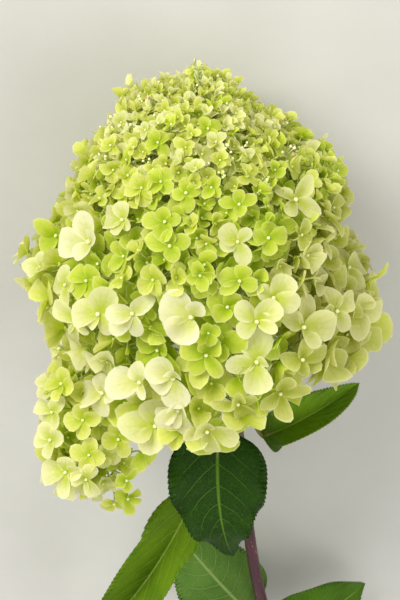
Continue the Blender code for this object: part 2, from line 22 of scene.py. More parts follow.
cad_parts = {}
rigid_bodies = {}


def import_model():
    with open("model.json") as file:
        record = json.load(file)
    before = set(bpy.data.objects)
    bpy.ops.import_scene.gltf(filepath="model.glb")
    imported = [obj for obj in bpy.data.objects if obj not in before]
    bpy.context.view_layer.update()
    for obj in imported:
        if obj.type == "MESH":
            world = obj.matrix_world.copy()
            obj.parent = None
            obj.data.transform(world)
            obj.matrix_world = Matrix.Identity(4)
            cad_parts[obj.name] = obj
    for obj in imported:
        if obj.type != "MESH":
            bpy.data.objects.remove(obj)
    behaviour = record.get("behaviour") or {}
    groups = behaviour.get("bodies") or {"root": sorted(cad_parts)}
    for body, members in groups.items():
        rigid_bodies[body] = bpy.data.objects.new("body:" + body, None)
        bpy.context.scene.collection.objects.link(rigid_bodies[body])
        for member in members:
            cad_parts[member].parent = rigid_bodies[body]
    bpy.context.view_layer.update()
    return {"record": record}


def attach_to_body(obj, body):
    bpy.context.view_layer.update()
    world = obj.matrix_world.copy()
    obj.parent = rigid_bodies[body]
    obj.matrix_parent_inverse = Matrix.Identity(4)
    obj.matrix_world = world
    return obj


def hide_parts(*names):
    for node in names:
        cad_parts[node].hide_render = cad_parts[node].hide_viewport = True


# The head, as in the solids
HEAD_LENGTH = 0.161
HEAD_RADIUS = 0.082
DOME_LENGTH = 0.106
DOME_POWER = 0.47
BASE_DRAW_IN = 0.10
AXIS_HEIGHT = 0.072
AXIS_LEAN = -0.094
SWELLS = {
    "left shoulder": (0.074, math.radians(180), 0.011, 0.022, math.radians(40)),
    "right hollow": (0.090, math.radians(5), -0.010, 0.020, math.radians(40)),
    "right lobe": (0.048, math.radians(10), 0.004, 0.022, math.radians(30)),
    "left notch": (0.030, math.radians(165), -0.008, 0.014, math.radians(30)),
}

# Its lower rim, which is drawn up on the right of the front
RIM_LOW, RIM_HIGH = 0.014, 0.034
RIM_MIDDLE, RIM_WIDTH = math.radians(30), math.radians(45)

# Where the open blossom stands in from the solids' surface, or out of it, as the picture's outline shows
BLOSSOM_SWELLS = {
    "upper right": (0.143, math.radians(-5), -0.017, 0.022, math.radians(60)),
    "upper left": (0.125, math.radians(185), -0.009, 0.032, math.radians(55)),
    "right notch": (0.085, math.radians(0), -0.018, 0.011, math.radians(40)),
    "right side": (0.040, math.radians(5), -0.012, 0.034, math.radians(50)),
    "left hollow": (0.088, math.radians(185), -0.007, 0.016, math.radians(45)),
    "left bulge": (0.052, math.radians(172), 0.001, 0.014, math.radians(35)),
}

# The whorls of side branches and the masses that they carry
WHORLS = 7
BRANCHES_A_WHORL = 3
FIRST_TURN = math.radians(105)
ATTACH_FIRST, ATTACH_STEP = -0.002, 0.0175
CENTRE_FIRST, CENTRE_STEP = 0.019, 0.0182
RIM_SHARE = 0.7
MASS_DEPTH_LOW, MASS_DEPTH_HIGH = 0.030, 0.024
TIP_ALONG = 0.137
LOBES = {
    "lobe_upper": (0.006, math.radians(172), Vector((-0.066, 0.012, 0.096)), 0.026),
    "lobe_lower": (-0.009, math.radians(160), Vector((-0.069, -0.018, 0.099)), 0.031),
}
LOBE_CAP_ANGLE = math.radians(125)
LOBE_SPACE = 0.035
Mass = namedtuple("Mass", "name attach around centre")

# The stem
STEM_LINE = (
    Vector((0.0360, -0.225, 0.0034)),
    Vector((0.0250, -0.178, 0.0210)),
    Vector((0.0170, -0.135, 0.0370)),
    Vector((0.0115, -0.090, 0.0520)),
    Vector((0.0085, -0.050, 0.0640)),
    Vector((0.0040, -0.016, 0.0705)),
)
STEM_END_ALONG = 0.126
STEM_SHARES_INSIDE = (0.2, 0.5, 1.0)
STEM_STEPS = 24
STEM_SIDES = 28
STEM_RADIUS_FOOT, STEM_RADIUS_TIP = 0.0033, 0.0013
STEM_BUD_RADIUS, STEM_BUD_AHEAD, STEM_BUD_OUT = 0.0013, 0.002, 1.05
STEM_BUD_TURNS = (math.radians(20), math.radians(200))
CUT_RINGS = 9
NODE_SWELL, NODE_LENGTH = 0.35, 0.006
LEAF_NODES = UPPER_NODE_Y, MIDDLE_NODE_Y, LOWER_NODE_Y = -0.018, -0.040, -0.178
GAP = 0.00035

# Side branches, the twigs that fork from their ends, and the flower stalks on the twigs
BRANCH_RADIUS_FOOT, BRANCH_RADIUS_TIP = 0.0017, 0.0012
BRANCH_KNEE_OUT, BRANCH_KNEE_AHEAD = 0.006, 0.001
BRANCH_ARCH = 0.002
BRANCH_SWEEP = 0.004
BRANCH_RUN_IN = 0.016
BRANCH_STEPS = 6
TWIG_RADIUS = 0.0008
STALK_RADIUS_FOOT, STALK_RADIUS_TOP = 0.00055, 0.00038
TWIG_START, TWIG_BEND = 0.8, 0.0012
STALK_BEND, STALK_REACH_LOW, STALK_REACH_HIGH = 0.0008, 0.7, 0.006
FORK_SHARE = 0.62
CLUSTER = 5

# Leaves: where each leaves the stem, its midrib, outline, fold and waves, and its light, dark and vein tints
# The leaf tints are set dark to carry the shade the leaves lay in: painted shade, deepest on the front leaf
LEAVES = {
    "leaf_front": {
        "node": UPPER_NODE_Y,
        "around": 85,
        "midrib": ((-0.005, -0.015, 0.088), (-0.004, -0.054, 0.099), (0.0034, -0.0940, 0.0785)),
        "half_width": 0.0242,
        "powers": (0.44, 1.34),
        "fold": 12,
        "roll": 0,
        "wave": (0.0030, 3.2, 0.4),
        # Near-black greens: painted shade
        "tint": ("#24460A", "#163204", "#5C8420"),
    },
    "leaf_left": {
        "node": MIDDLE_NODE_Y,
        "around": 200,
        "midrib": ((-0.015, -0.062, 0.064), (-0.044, -0.120, 0.066), (-0.078, -0.178, 0.036)),
        "half_width": 0.0230,
        "powers": (0.70, 1.05),
        "fold": 55,
        "roll": 20,
        "wave": (0.0012, 2.6, 1.1),
        "tint": ("#6E9216", "#567A0A", "#A2BE50"),
    },
    "leaf_right": {
        "node": UPPER_NODE_Y,
        "around": 335,
        "midrib": ((0.018, -0.030, 0.066), (0.040, -0.016, 0.071), (0.068, -0.010, 0.046)),
        "half_width": 0.0145,
        "powers": (0.70, 1.05),
        "fold": 50,
        "roll": -35,
        "wave": (0.0010, 2.0, 2.0),
        "tint": ("#6E9416", "#557A0A", "#9CBC48"),
    },
    "leaf_low_left": {
        "node": LOWER_NODE_Y,
        "around": 165,
        "midrib": ((0.014, -0.170, 0.021), (-0.005, -0.147, 0.022), (-0.031, -0.120, 0.008)),
        "half_width": 0.0250,
        "powers": (0.70, 1.05),
        "fold": 5,
        "roll": 6,
        "wave": (0.0010, 2.4, 0.9),
        "tint": ("#5E8434", "#4A7026", "#94AE62"),
    },
    "leaf_low_right": {
        "node": LOWER_NODE_Y,
        "around": 15,
        "midrib": ((0.034, -0.174, 0.024), (0.055, -0.161, 0.034), (0.080, -0.157, 0.012)),
        "half_width": 0.0210,
        "powers": (0.70, 1.05),
        "fold": 16,
        "roll": -4,
        "wave": (0.0012, 2.2, 1.7),
        "tint": ("#446C06", "#325404", "#7A9E30"),
    },
}
LEAF_TEETH = 38
LEAF_TOOTH_STEPS = (0.0, 0.5, 0.92)
LEAF_TOOTH_DEPTH = 0.0008
LEAF_COLUMNS = 26
LEAF_VEINS = 8
LEAF_VEIN_SLOPE = 0.26
LEAF_QUILT = 0.0005
LEAF_THICKNESS = 0.0004
LEAF_FOLD_RISE = 4
LEAF_GLOW = 0.16
RIB_DROP = Vector((0, 0, -0.0006))
RIB_SHARES = (0.1, 0.3, 0.5, 0.7, 0.9)
PETIOLE_RADIUS = 0.0014
PETIOLE_SQUARE = 0.003

# Blossom: its radius along the head, from the base to the tip, and where it is young
FLORET_RADII = (
    (0.000, 0.0138),
    (0.040, 0.0128),
    (0.070, 0.0104),
    (0.100, 0.0082),
    (0.125, 0.0063),
    (0.145, 0.0051),
    (0.161, 0.0043),
)
FLORET_SPREAD = 0.16
LOBE_FLORET_RADIUS = 0.0090
LARGE_FLORET, MIDDLE_FLORET = 0.0115, 0.0072
LOBE_SINKS = {"lobe_upper": 0.25, "lobe_lower": 0.95}
YOUNG_FROM, YOUNG_OVER = 0.140, 0.018
YOUNG_NEARER = 0.80
SPOT_PITCH = 0.0022
RIM_MARGIN = 0.3
CLUMP_HEIGHT, CLUMP_SIZE = 0.0054, 0.016
FACING_JITTER = 0.75
SEED = 11

# Layers of florets: how deep each lies, in radii, how near its own and other florets may come, and its size
# and detail
Layer = namedtuple("Layer", "high low own others size detail")
LAYERS = (
    Layer(0.12, 0.50, 0.62, 0.74, 1.0, 0),
    Layer(0.60, 0.95, 0.58, 0.38, 0.95, 1),
    Layer(1.20, 1.70, 0.64, 0.36, 1.0, 2),
)
LEAST_OPEN = 0.7
BACK_FACING = -0.3
FLOOR_MARGIN, FLOOR_CLEAR, FLOOR_LEAST = 0.002, 0.0004, 0.0003

# What a floret tries until it is clear of its neighbours, and what each fault costs it
TRIED_DEPTHS = (0, 0.15, 0.3, 0.45)
TRIALS = 5
CLEAR, FAIR, MOST_HITS = 1, 4, 60
DEPTH_COST, LEAF_COST, HIDING_COST = 6, 3, 12
HIDING_HEIGHT, HIDING_OTHER, HIDING_OWN = -0.2, 0.9, 0.6

# Florets across the open base of the head, and the picture's lowest row of blossom at some columns
BASE_FILL = 90
BASE_SHARE_LOW, BASE_SHARE_HIGH = 0.30, 0.94
BASE_DEPTHS = (-0.002, 0.016)
BASE_FACING = Vector((0, -0.7, 0.35))
BASE_LINE = (
    (150, 452),
    (175, 470),
    (205, 468),
    (240, 446),
    (262, 414),
    (282, 420),
    (300, 400),
    (330, 388),
    (400, 388),
)
BASE_LINE_REACH = 0.75

# Groups of buds near the tip, and the beads in the hearts of the florets
BUD_GROUPS, BUDS_A_GROUP = 70, 6
BUDS_FROM = 0.130
BUD_ROOM = 0.0019
BUD_SINK, BUD_FORK, BUD_SPREAD, BUD_SWAY = 0.001, 0.0055, 0.0024, 0.0004
BUD_HEIGHTS = (-0.003, 0.0008)
BUD_RADII = (0.00055, 0.00085)
BUD_STALK_RADII = (0.0003, 0.00026, 0.00024)
BLUSH_SHARE = 0.12
BEAD_SMALLEST, BEAD_SHARE = 0.00040, 0.046
YOUNG_RADIUS, YOUNG_BLUSH = 0.006, 0.25

# Petals: the ranges of their bends, and of length, width, lift and point for young and for open ones
PETAL_BENDS = {
    "cup": (-0.20, 0.95),
    "curl": (-0.55, 0.24),
    "twist": (0.05, 0.30),
    "ripple": (0.012, 0.055),
    "waves": (4.5, 8.0),
    "phase": (0, math.tau),
    "broad": (0.20, 0.65),
    "lopsided": (-0.09, 0.09),
}
PETALS = 4
LENGTHS, LARGEST, PAIRS = (0.86, 1.02), 1.10, (0.93, 1.05)
YOUNG_WIDTHS, OPEN_WIDTHS = (0.58, 0.80), (0.88, 1.24)
YOUNG_LIFTS, OPEN_LIFTS, PAIR_LIFTS, RAISED = (34, 72), (0, 24), (12, 0), (0, 36)
YOUNG_POINTS, OPEN_POINTS, FRONT_POINT = (0.10, 0.26), (-0.06, 0.13), 0.02
SWING = 0.14
PETAL_FAN = math.radians(88)
PETAL_ROW_POWER = 0.85
PETAL_FOOT = 0.02
POINT_WIDTH = 0.32
UNEVEN = 0.025
STEEPEST = math.radians(75)

# Where the florets that the picture shows clearly lie, and how far they face along the surface's normal
FRONT_SINK = 0.001
FRONT_ALONG_NORMAL = 0.45
FRONT_LAYER = -1

# The camera: how far it leans back from straight down, its distance and what it aims at
VIEW_LEAN = math.radians(25)
VIEW_DISTANCE = 0.85
VIEW_AIM = Vector((-0.014, 0.0408, 0.053))
LENS, SENSOR = 102, 36
PHOTO_WIDTH, PHOTO_HEIGHT = 400, 600
RAY_FROM, RAY_TO, RAY_STEP = 0.5, 1.3, 0.0005

# Tints of the blossom: the heart of the petal and its rim
TINTS = {
    "pale": ("#DADF78", "#F7F3CE"),
    "cream": ("#CEDA4A", "#F0EEB4"),
    "cream_lime": ("#C0D224", "#E7E97E"),
    "lime": ("#B0CA10", "#DAE45A"),
    "lime_deep": ("#A6C20A", "#D0DE4C"),
    "olive": ("#B0BA28", "#D4D678"),
    "olive_pale": ("#C4CC4C", "#E8E7A4"),
}
SHADED = {
    "pale": "cream",
    "cream": "cream_lime",
    "cream_lime": "lime",
    "lime": "lime_deep",
    "olive_pale": "olive",
}
# The thin line along each petal's rim: partly the sepal's own pale edge, partly a painted highlight
PALE_RIM_AND_HIGHLIGHT = "#F7F6D2"

# How the tints are dealt out: by side, height and the middle band, and the shares that each tint takes
# The pull by side is painted light and shade: cream on the lit left, olive on the shaded lower right
BAND_AT, BAND_WIDTH = 0.096, 0.026
BY_LIT_SIDE, BY_HEIGHT, BY_BAND = 0.55, 0.16, 0.36
OLIVE_SHARE, OLIVE_PALE_SHARE = 0.12, 0.62
LIME_SHARE, CREAM_LIME_SHARE, HIGH_SHARE = 0.30, 0.72, 0.14
OLIVE_SHADE_SIDE, OLIVE_HEIGHT = 0.36, 0.6


def srgb(code):
    """A colour written as in the photograph, as the linear colour that a shader takes."""
    parts = [int(code[at : at + 2], 16) / 255 for at in (1, 3, 5)]
    linear = [part / 12.92 if part <= 0.04045 else ((part + 0.055) / 1.055) ** 2.4 for part in parts]
    return (*linear, 1.0)


# Where things are in the head


def between(low, high, share):
    """From low to high, as the share goes from nothing to one."""
    return low + (high - low) * max(0, min(1, share))


def rachis(along):
    """The point on the head's axis at this distance from its base."""
    return Vector((AXIS_LEAN * along, along, AXIS_HEIGHT))


def radial(around):
    """The direction out of the axis at this angle: 0 to the right, a quarter turn up."""
    return Vector((math.cos(around), 0, math.sin(around)))


def turn_between(one, other):
    """The angle between two directions round the axis, less than half a turn."""
    return abs((one - other + math.pi) % math.tau - math.pi)


def head_radius(along, around):
    """From the axis to the head's surface: a blunt dome on a barrel, with its lumps and hollows."""
    from_tip = max(HEAD_LENGTH - along, 0)
    if from_tip < DOME_LENGTH:
        share = (1 - (1 - from_tip / DOME_LENGTH) ** 2) ** DOME_POWER
    else:
        share = 1 - BASE_DRAW_IN * ((from_tip - DOME_LENGTH) / (HEAD_LENGTH - DOME_LENGTH)) ** 2
    return HEAD_RADIUS * share + swelling(SWELLS, along, around)


def swelling(table, along, around):
    """How far the lumps and hollows of a table move the surface here."""
    moved = 0
    for at, turn, reach, length, width in table.values():
        moved += reach * math.exp(-(((along - at) / length) ** 2) - (turn_between(around, turn) / width) ** 2)
    return moved


def rim(around):
    """How far along the axis the blossom starts, on this side of the head."""
    return between(RIM_LOW, RIM_HIGH, math.exp(-((turn_between(around, RIM_MIDDLE) / RIM_WIDTH) ** 4)))


def head_reach(along, around):
    """The same as the radius, but the head's back lies flat on the floor."""
    down = -math.sin(around)
    flat = AXIS_HEIGHT / down if down > 0 else math.inf
    return min(head_radius(along, around), flat)


def blossom_reach(along, around):
    """From the axis to the surface on which the florets sit."""
    return head_reach(along, around) + swelling(BLOSSOM_SWELLS, along, around)


def head_surface(along, around):
    """The point of that surface at this place."""
    return rachis(along) + blossom_reach(along, around) * radial(around)


def head_normal(along, around):
    """The direction out of the head's surface."""
    step = 0.002
    ahead = head_surface(along + step, around) - head_surface(along - step, around)
    turn = step / HEAD_RADIUS
    aside = head_surface(along, around + turn) - head_surface(along, around - turn)
    return ahead.cross(aside).normalized()


def depth_inside(point):
    """How deep a point lies in the head or in a lobe: less than nothing outside them."""
    middle = rachis(point.y)
    out = point - middle
    around = math.atan2(out.z, out.x)
    depths = [reach - (point - centre).length for *_, centre, reach in LOBES.values()]
    if rim(around) < point.y < HEAD_LENGTH:
        depths.append(blossom_reach(point.y, around) - math.hypot(out.x, out.z))
    return max(depths)


def smooth_line(knots, steps):
    """A Catmull-Rom curve through the knots, with this many steps between each two."""
    ends = [2 * knots[0] - knots[1], *knots, 2 * knots[-1] - knots[-2]]
    line = []
    for before, start, end, after in zip(ends, ends[1:], ends[2:], ends[3:]):
        for step in range(steps):
            t = step / steps
            line.append(
                0.5
                * (
                    2 * start
                    + (end - before) * t
                    + (2 * before - 5 * start + 4 * end - after) * t**2
                    + (3 * start - before - 3 * end + after) * t**3
                )
            )
    return [*line, knots[-1].copy()]


def stem_line():
    inside = [rachis(STEM_END_ALONG * share) for share in STEM_SHARES_INSIDE]
    return smooth_line([*STEM_LINE, *inside], STEM_STEPS)


def stem_radius(y):
    """The taper from foot to tip, with a swelling at each leaf node."""
    foot = STEM_LINE[0].y
    taper = between(STEM_RADIUS_FOOT, STEM_RADIUS_TIP, ((y - foot) / (STEM_END_ALONG - foot)) ** 2)
    nodes = sum(math.exp(-(((y - at) / NODE_LENGTH) ** 2)) for at in LEAF_NODES)
    return taper * (1 + NODE_SWELL * nodes)


def stem_at(y):
    """The point of the stem's middle line at this y, and the stem's direction there."""
    line = stem_line()
    for low, high in zip(line, line[1:]):
        if low.y <= y <= high.y:
            return low.lerp(high, (y - low.y) / (high.y - low.y)), (high - low).normalized()
    return line[-1], (line[-1] - line[-2]).normalized()


def off_stem(y, around):
    """Where a limb leaves the stem, just clear of its surface, and its direction, square to the stem."""
    middle, ahead = stem_at(y)
    out = radial(around)
    out = (out - out.dot(ahead) * ahead).normalized()
    return middle + (stem_radius(y) + GAP) * out, out


def head_masses():
    """Every mass of the head: the whorls from base to tip, the lobes, and the one at the tip."""
    masses = []
    for whorl in range(WHORLS):
        share = whorl / (WHORLS - 1)
        for k in range(BRANCHES_A_WHORL):
            around = FIRST_TURN + math.tau * (k / BRANCHES_A_WHORL + whorl / (2 * BRANCHES_A_WHORL))
            along = CENTRE_FIRST + whorl * CENTRE_STEP + RIM_SHARE * (1 - share) * (rim(around) - RIM_LOW)
            out = head_reach(along, around) - between(MASS_DEPTH_LOW, MASS_DEPTH_HIGH, share)
            centre = rachis(along) + out * radial(around)
            if min((centre - lobe[2]).length for lobe in LOBES.values()) > LOBE_SPACE:
                attach = ATTACH_FIRST + whorl * ATTACH_STEP
                masses.append(Mass(f"{whorl + 1}{'abc'[k]}", attach, around, centre))
    masses += [Mass(name, *lobe[:3]) for name, lobe in LOBES.items()]
    return [*masses, Mass("tip", STEM_END_ALONG, 0, rachis(TIP_ALONG))]


# The camera and what it sees


def view_axes():
    """The photograph's right, its up, and the way back to the camera."""
    right = Vector((1, 0, 0))
    up = Vector((0, math.cos(VIEW_LEAN), -math.sin(VIEW_LEAN)))
    back = Vector((0, math.sin(VIEW_LEAN), math.cos(VIEW_LEAN)))
    return right, up, back


def seen_at(pixel, sink):
    """The point of the head's or a lobe's surface that shows at this pixel, and its normal."""
    right, up, back = view_axes()
    start = VIEW_AIM + VIEW_DISTANCE * back
    far = LENS / SENSOR * PHOTO_HEIGHT
    ray = right * (pixel[0] - PHOTO_WIDTH / 2) + up * (PHOTO_HEIGHT / 2 - pixel[1]) - far * back
    ray.normalize()
    best = (-math.inf, None)
    for count in range(round(RAY_FROM * VIEW_DISTANCE / RAY_STEP), round(RAY_TO * VIEW_DISTANCE / RAY_STEP)):
        point = start + count * RAY_STEP * ray
        depth = depth_inside(point)
        best = max(best, (depth, count))
        if depth > sink:
            break
    point = start + best[1] * RAY_STEP * ray
    normal = normal_at(point)
    return point + min(0, best[0]) * normal, normal


def shown_at(point):
    """The column and row of the photograph at which a point shows, and the pixels to a metre there."""
    right, up, back = view_axes()
    offset = point - VIEW_AIM
    scale = LENS / SENSOR * PHOTO_HEIGHT / (VIEW_DISTANCE - offset.dot(back))
    return PHOTO_WIDTH / 2 + scale * offset.dot(right), PHOTO_HEIGHT / 2 - scale * offset.dot(up), scale


def below_base(place, radius):
    """True where an ordinary floret would hang lower than the blossom does in the picture."""
    column, row, scale = shown_at(place)
    lowest = float(np.interp(column, *zip(*BASE_LINE)))
    return column > BASE_LINE[0][0] and row + BASE_LINE_REACH * radius * scale > lowest


def normal_at(point):
    """The way out of the head from a point near its surface."""
    step = 0.003
    slope = []
    for axis in range(3):
        aside = Vector([step if at == axis else 0 for at in range(3)])
        slope.append(depth_inside(point - aside) - depth_inside(point + aside))
    return Vector(slope).normalized()


def make_camera(shift):
    """The photograph's view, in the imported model's frame."""
    right, up, back = view_axes()
    camera = bpy.data.objects.new("camera", bpy.data.cameras.new("camera"))
    camera.data.lens = LENS
    camera.data.sensor_width = SENSOR
    camera.data.clip_start = 0.01
    turn = Matrix((right, up, back)).transposed().to_4x4()
    camera.matrix_world = Matrix.Translation(VIEW_AIM + shift + VIEW_DISTANCE * back) @ turn
    bpy.context.scene.collection.objects.link(camera)
    bpy.context.scene.camera = camera


# Meshes


class Skin:
    """Collects points and faces, each with a material and, at each point, two coordinates of its pattern."""

    def __init__(self):
        self.points = []
        self.patterns = []
        self.faces = []
        self.slots = []
        self.count = 0

    def add(self, points, pattern, faces, slot):
        self.points.append(points)
        self.patterns.append(pattern)
        self.faces.append(faces + self.count)
        self.slots.append(np.full(len(faces), slot))
        self.count += len(points)

    def piece(self, name, materials, shift):
        """Makes the object from all that was added."""
        points = np.concatenate(self.points) + np.array(shift)
        faces = np.concatenate(self.faces)
        mesh = bpy.data.meshes.new(name)
        mesh.from_pydata(points.tolist(), [], listed(faces))
        for material in materials:
            mesh.materials.append(material)
        mesh.polygons.foreach_set("material_index", np.concatenate(self.slots).astype(np.int32))
        mesh.shade_smooth()
        pattern = np.concatenate(self.patterns)
        ends = np.zeros(len(mesh.loops), np.int32)
        mesh.loops.foreach_get("vertex_index", ends)
        mesh.uv_layers.new(name="pattern").data.foreach_set("uv", pattern[ends].astype(np.float32).ravel())
        obj = bpy.data.objects.new(name, mesh)
        bpy.context.scene.collection.objects.link(obj)
        return obj


def grid_faces(rows, columns, closed):
    """The quads between rows of points, each row joined to its own start if it is closed."""
    across = columns if closed else columns - 1
    row, column = np.meshgrid(np.arange(rows - 1), np.arange(across), indexing="ij")
    start = (row * columns + column).ravel()
    beside = (row * columns + (column + 1) % columns).ravel()
    return np.stack([start, beside, beside + columns, start + columns], axis=1)


def tube(line, radii, sides, relief=None):
    """A round limb with closed ends along a line: its points, pattern and faces."""
    line = np.array([tuple(point) for point in line])
    radii = np.asarray(radii, float)
    ahead = np.gradient(line, axis=0)
    ahead /= np.linalg.norm(ahead, axis=1)[:, None]
    aside = np.zeros_like(line)
    side = np.cross(ahead[0], (0.31, 0.23, 0.92))
    for at, direction in enumerate(ahead):
        side = side - direction * (side @ direction)
        side /= np.linalg.norm(side)
        aside[at] = side
    over = np.cross(ahead, aside)
    turns = np.arange(sides) / sides * math.tau
    out = aside[:, None] * np.cos(turns)[None, :, None] + over[:, None] * np.sin(turns)[None, :, None]
    reach = np.repeat(radii[:, None], sides, axis=1)
    walked = np.concatenate([[0], np.cumsum(np.linalg.norm(np.diff(line, axis=0), axis=1))])
    if relief is not None:
        reach = reach + relief(walked[:, None], turns[None, :])
    points = (line[:, None] + out * reach[:, :, None]).reshape(-1, 3)
    pattern = np.stack(np.broadcast_arrays(walked[:, None], turns[None, :] / math.tau), axis=2).reshape(-1, 2)
    faces = grid_faces(len(line), sides, closed=True)
    last = len(points)
    points = np.concatenate([points, line[:1], line[-1:]])
    pattern = np.concatenate([pattern, [[0, 0]], [[walked[-1], 0]]])
    ring = np.arange(sides)
    foot = np.stack([(ring + 1) % sides, ring, np.full(sides, last), np.full(sides, last)], axis=1)
    top = ring + (len(line) - 1) * sides
    beyond = (ring + 1) % sides + (len(line) - 1) * sides
    tip = np.stack([top, beyond, np.full(sides, last + 1), np.full(sides, last + 1)], axis=1)
    return points, pattern, np.concatenate([faces, foot, tip])


def ball(centre, radius, stretch, sides, rings, height=1.1):
    """A small bud: a sphere drawn out, or pressed flat, along a direction, with closed ends."""
    along = stretch.normalized()
    levels = np.cos(np.linspace(math.pi - 0.3, 0.3, rings))
    line = [centre + along * float(level * radius * height) for level in levels]
    return tube(line, radius * np.sqrt(1 - levels**2), sides)


# Petals


class Petal:
    """One sepal: which way it points in its floret, its length, width and lift, and how it bends."""

    def __init__(self, direction, length, width, lift, rng, point):
        self.direction = direction
        self.length = length
        self.width = width
        self.lift = lift
        self.point = point
        for name, span in PETAL_BENDS.items():
            setattr(self, name, rng.uniform(*span))

    def shape(self, steps_out, steps_round):
        """Its points in the floret's own frame, a fan from its narrow foot, with its pattern and faces."""
        turn = np.linspace(-PETAL_FAN, PETAL_FAN, steps_round)[None, :]
        out = (np.linspace(0, 1, steps_out + 1)[1:, None]) ** PETAL_ROW_POWER
        point = self.point * np.exp(-((turn / POINT_WIDTH) ** 2))
        ripple = np.sin(self.waves * turn + self.phase)
        uneven = self.lopsided * np.sin(2 * turn) + UNEVEN * ripple
        reach = self.length * np.cos(turn) * (1 + point + uneven)
        x = out * reach * np.cos(turn)
        y = out * reach * np.sin(turn) * self.width / self.length
        y = y * (1 - self.broad / 2 + self.broad * x / self.length)
        u, v = x / self.length, y / self.length
        z = self.length * (
            self.curl * u**2
            + self.cup * (2 * v) ** 2 * 0.5
            + self.twist * v
            + self.ripple * ripple * out**3
        )
        tilt = math.tan(min(self.lift, STEEPEST))
        lean = math.hypot(1, tilt)
        foot = PETAL_FOOT * self.length
        x, z = foot + (x - tilt * z) / lean, (x * tilt + z) / lean
        cos, sin = math.cos(self.direction), math.sin(self.direction)
        points = np.stack([x * cos - y * sin, x * sin + y * cos, z], axis=2).reshape(-1, 3)
        points = np.concatenate([[[foot * cos, foot * sin, 0]], points])
        pattern = np.stack(np.broadcast_arrays(out, (turn / PETAL_FAN + 1) / 2), axis=2).reshape(-1, 2)
        pattern = np.concatenate([[[0, 0.5]], pattern])
        faces = grid_faces(steps_out, steps_round, closed=False)[:, ::-1] + 1
        ring = np.arange(1, steps_round)
        fan = np.stack([np.zeros_like(ring), ring, ring + 1, ring + 1], axis=1)
        return points, pattern, np.concatenate([fan, faces])


class Floret:
    """One four-petalled blossom, with the direction it faces, its tint and its bead."""

    def __init__(self, place, facing, side, petals, tint, radius, mass):
        self.place = place
        self.facing = facing
        self.side = side
        self.petals = petals
        self.tint = tint
        self.radius = radius
        self.mass = mass
        self.detail = 0

    def frame(self):
        """From the floret's own frame, which looks along +Z with its first petal along +X, to the head."""
        side = (self.side - self.side.dot(self.facing) * self.facing).normalized()
        over = self.facing.cross(side)
        return np.array([side, over, self.facing]), np.array(self.place)


def petals_of(radius, openness, rng):
    """The four petals of an ordinary blossom: broad and flat when open, narrow and upright in a young one."""
    petals = []
    raised = rng.randrange(PETALS)
    large = rng.randrange(PETALS)
    for k in range(PETALS):
        length = radius * rng.uniform(*LENGTHS) * (LARGEST if k == large else 1) * PAIRS[k % 2]
        width = length * between(rng.uniform(*YOUNG_WIDTHS), rng.uniform(*OPEN_WIDTHS), openness)
        lift = between(rng.uniform(*YOUNG_LIFTS), rng.uniform(*OPEN_LIFTS) + PAIR_LIFTS[k % 2], openness)
        if k == raised:
            lift += rng.uniform(*RAISED)
        direction = k * math.tau / PETALS + rng.uniform(-SWING, SWING)
        point = between(rng.uniform(*YOUNG_POINTS), rng.uniform(*OPEN_POINTS), openness)
        petals.append(Petal(direction, length, width, math.radians(lift), rng, point))
    return petals


def floret_radius(along):
    """Large at the base of the head, and smaller toward its tip."""
    spots, radii = zip(*FLORET_RADII)
    return float(np.interp(along, spots, radii))


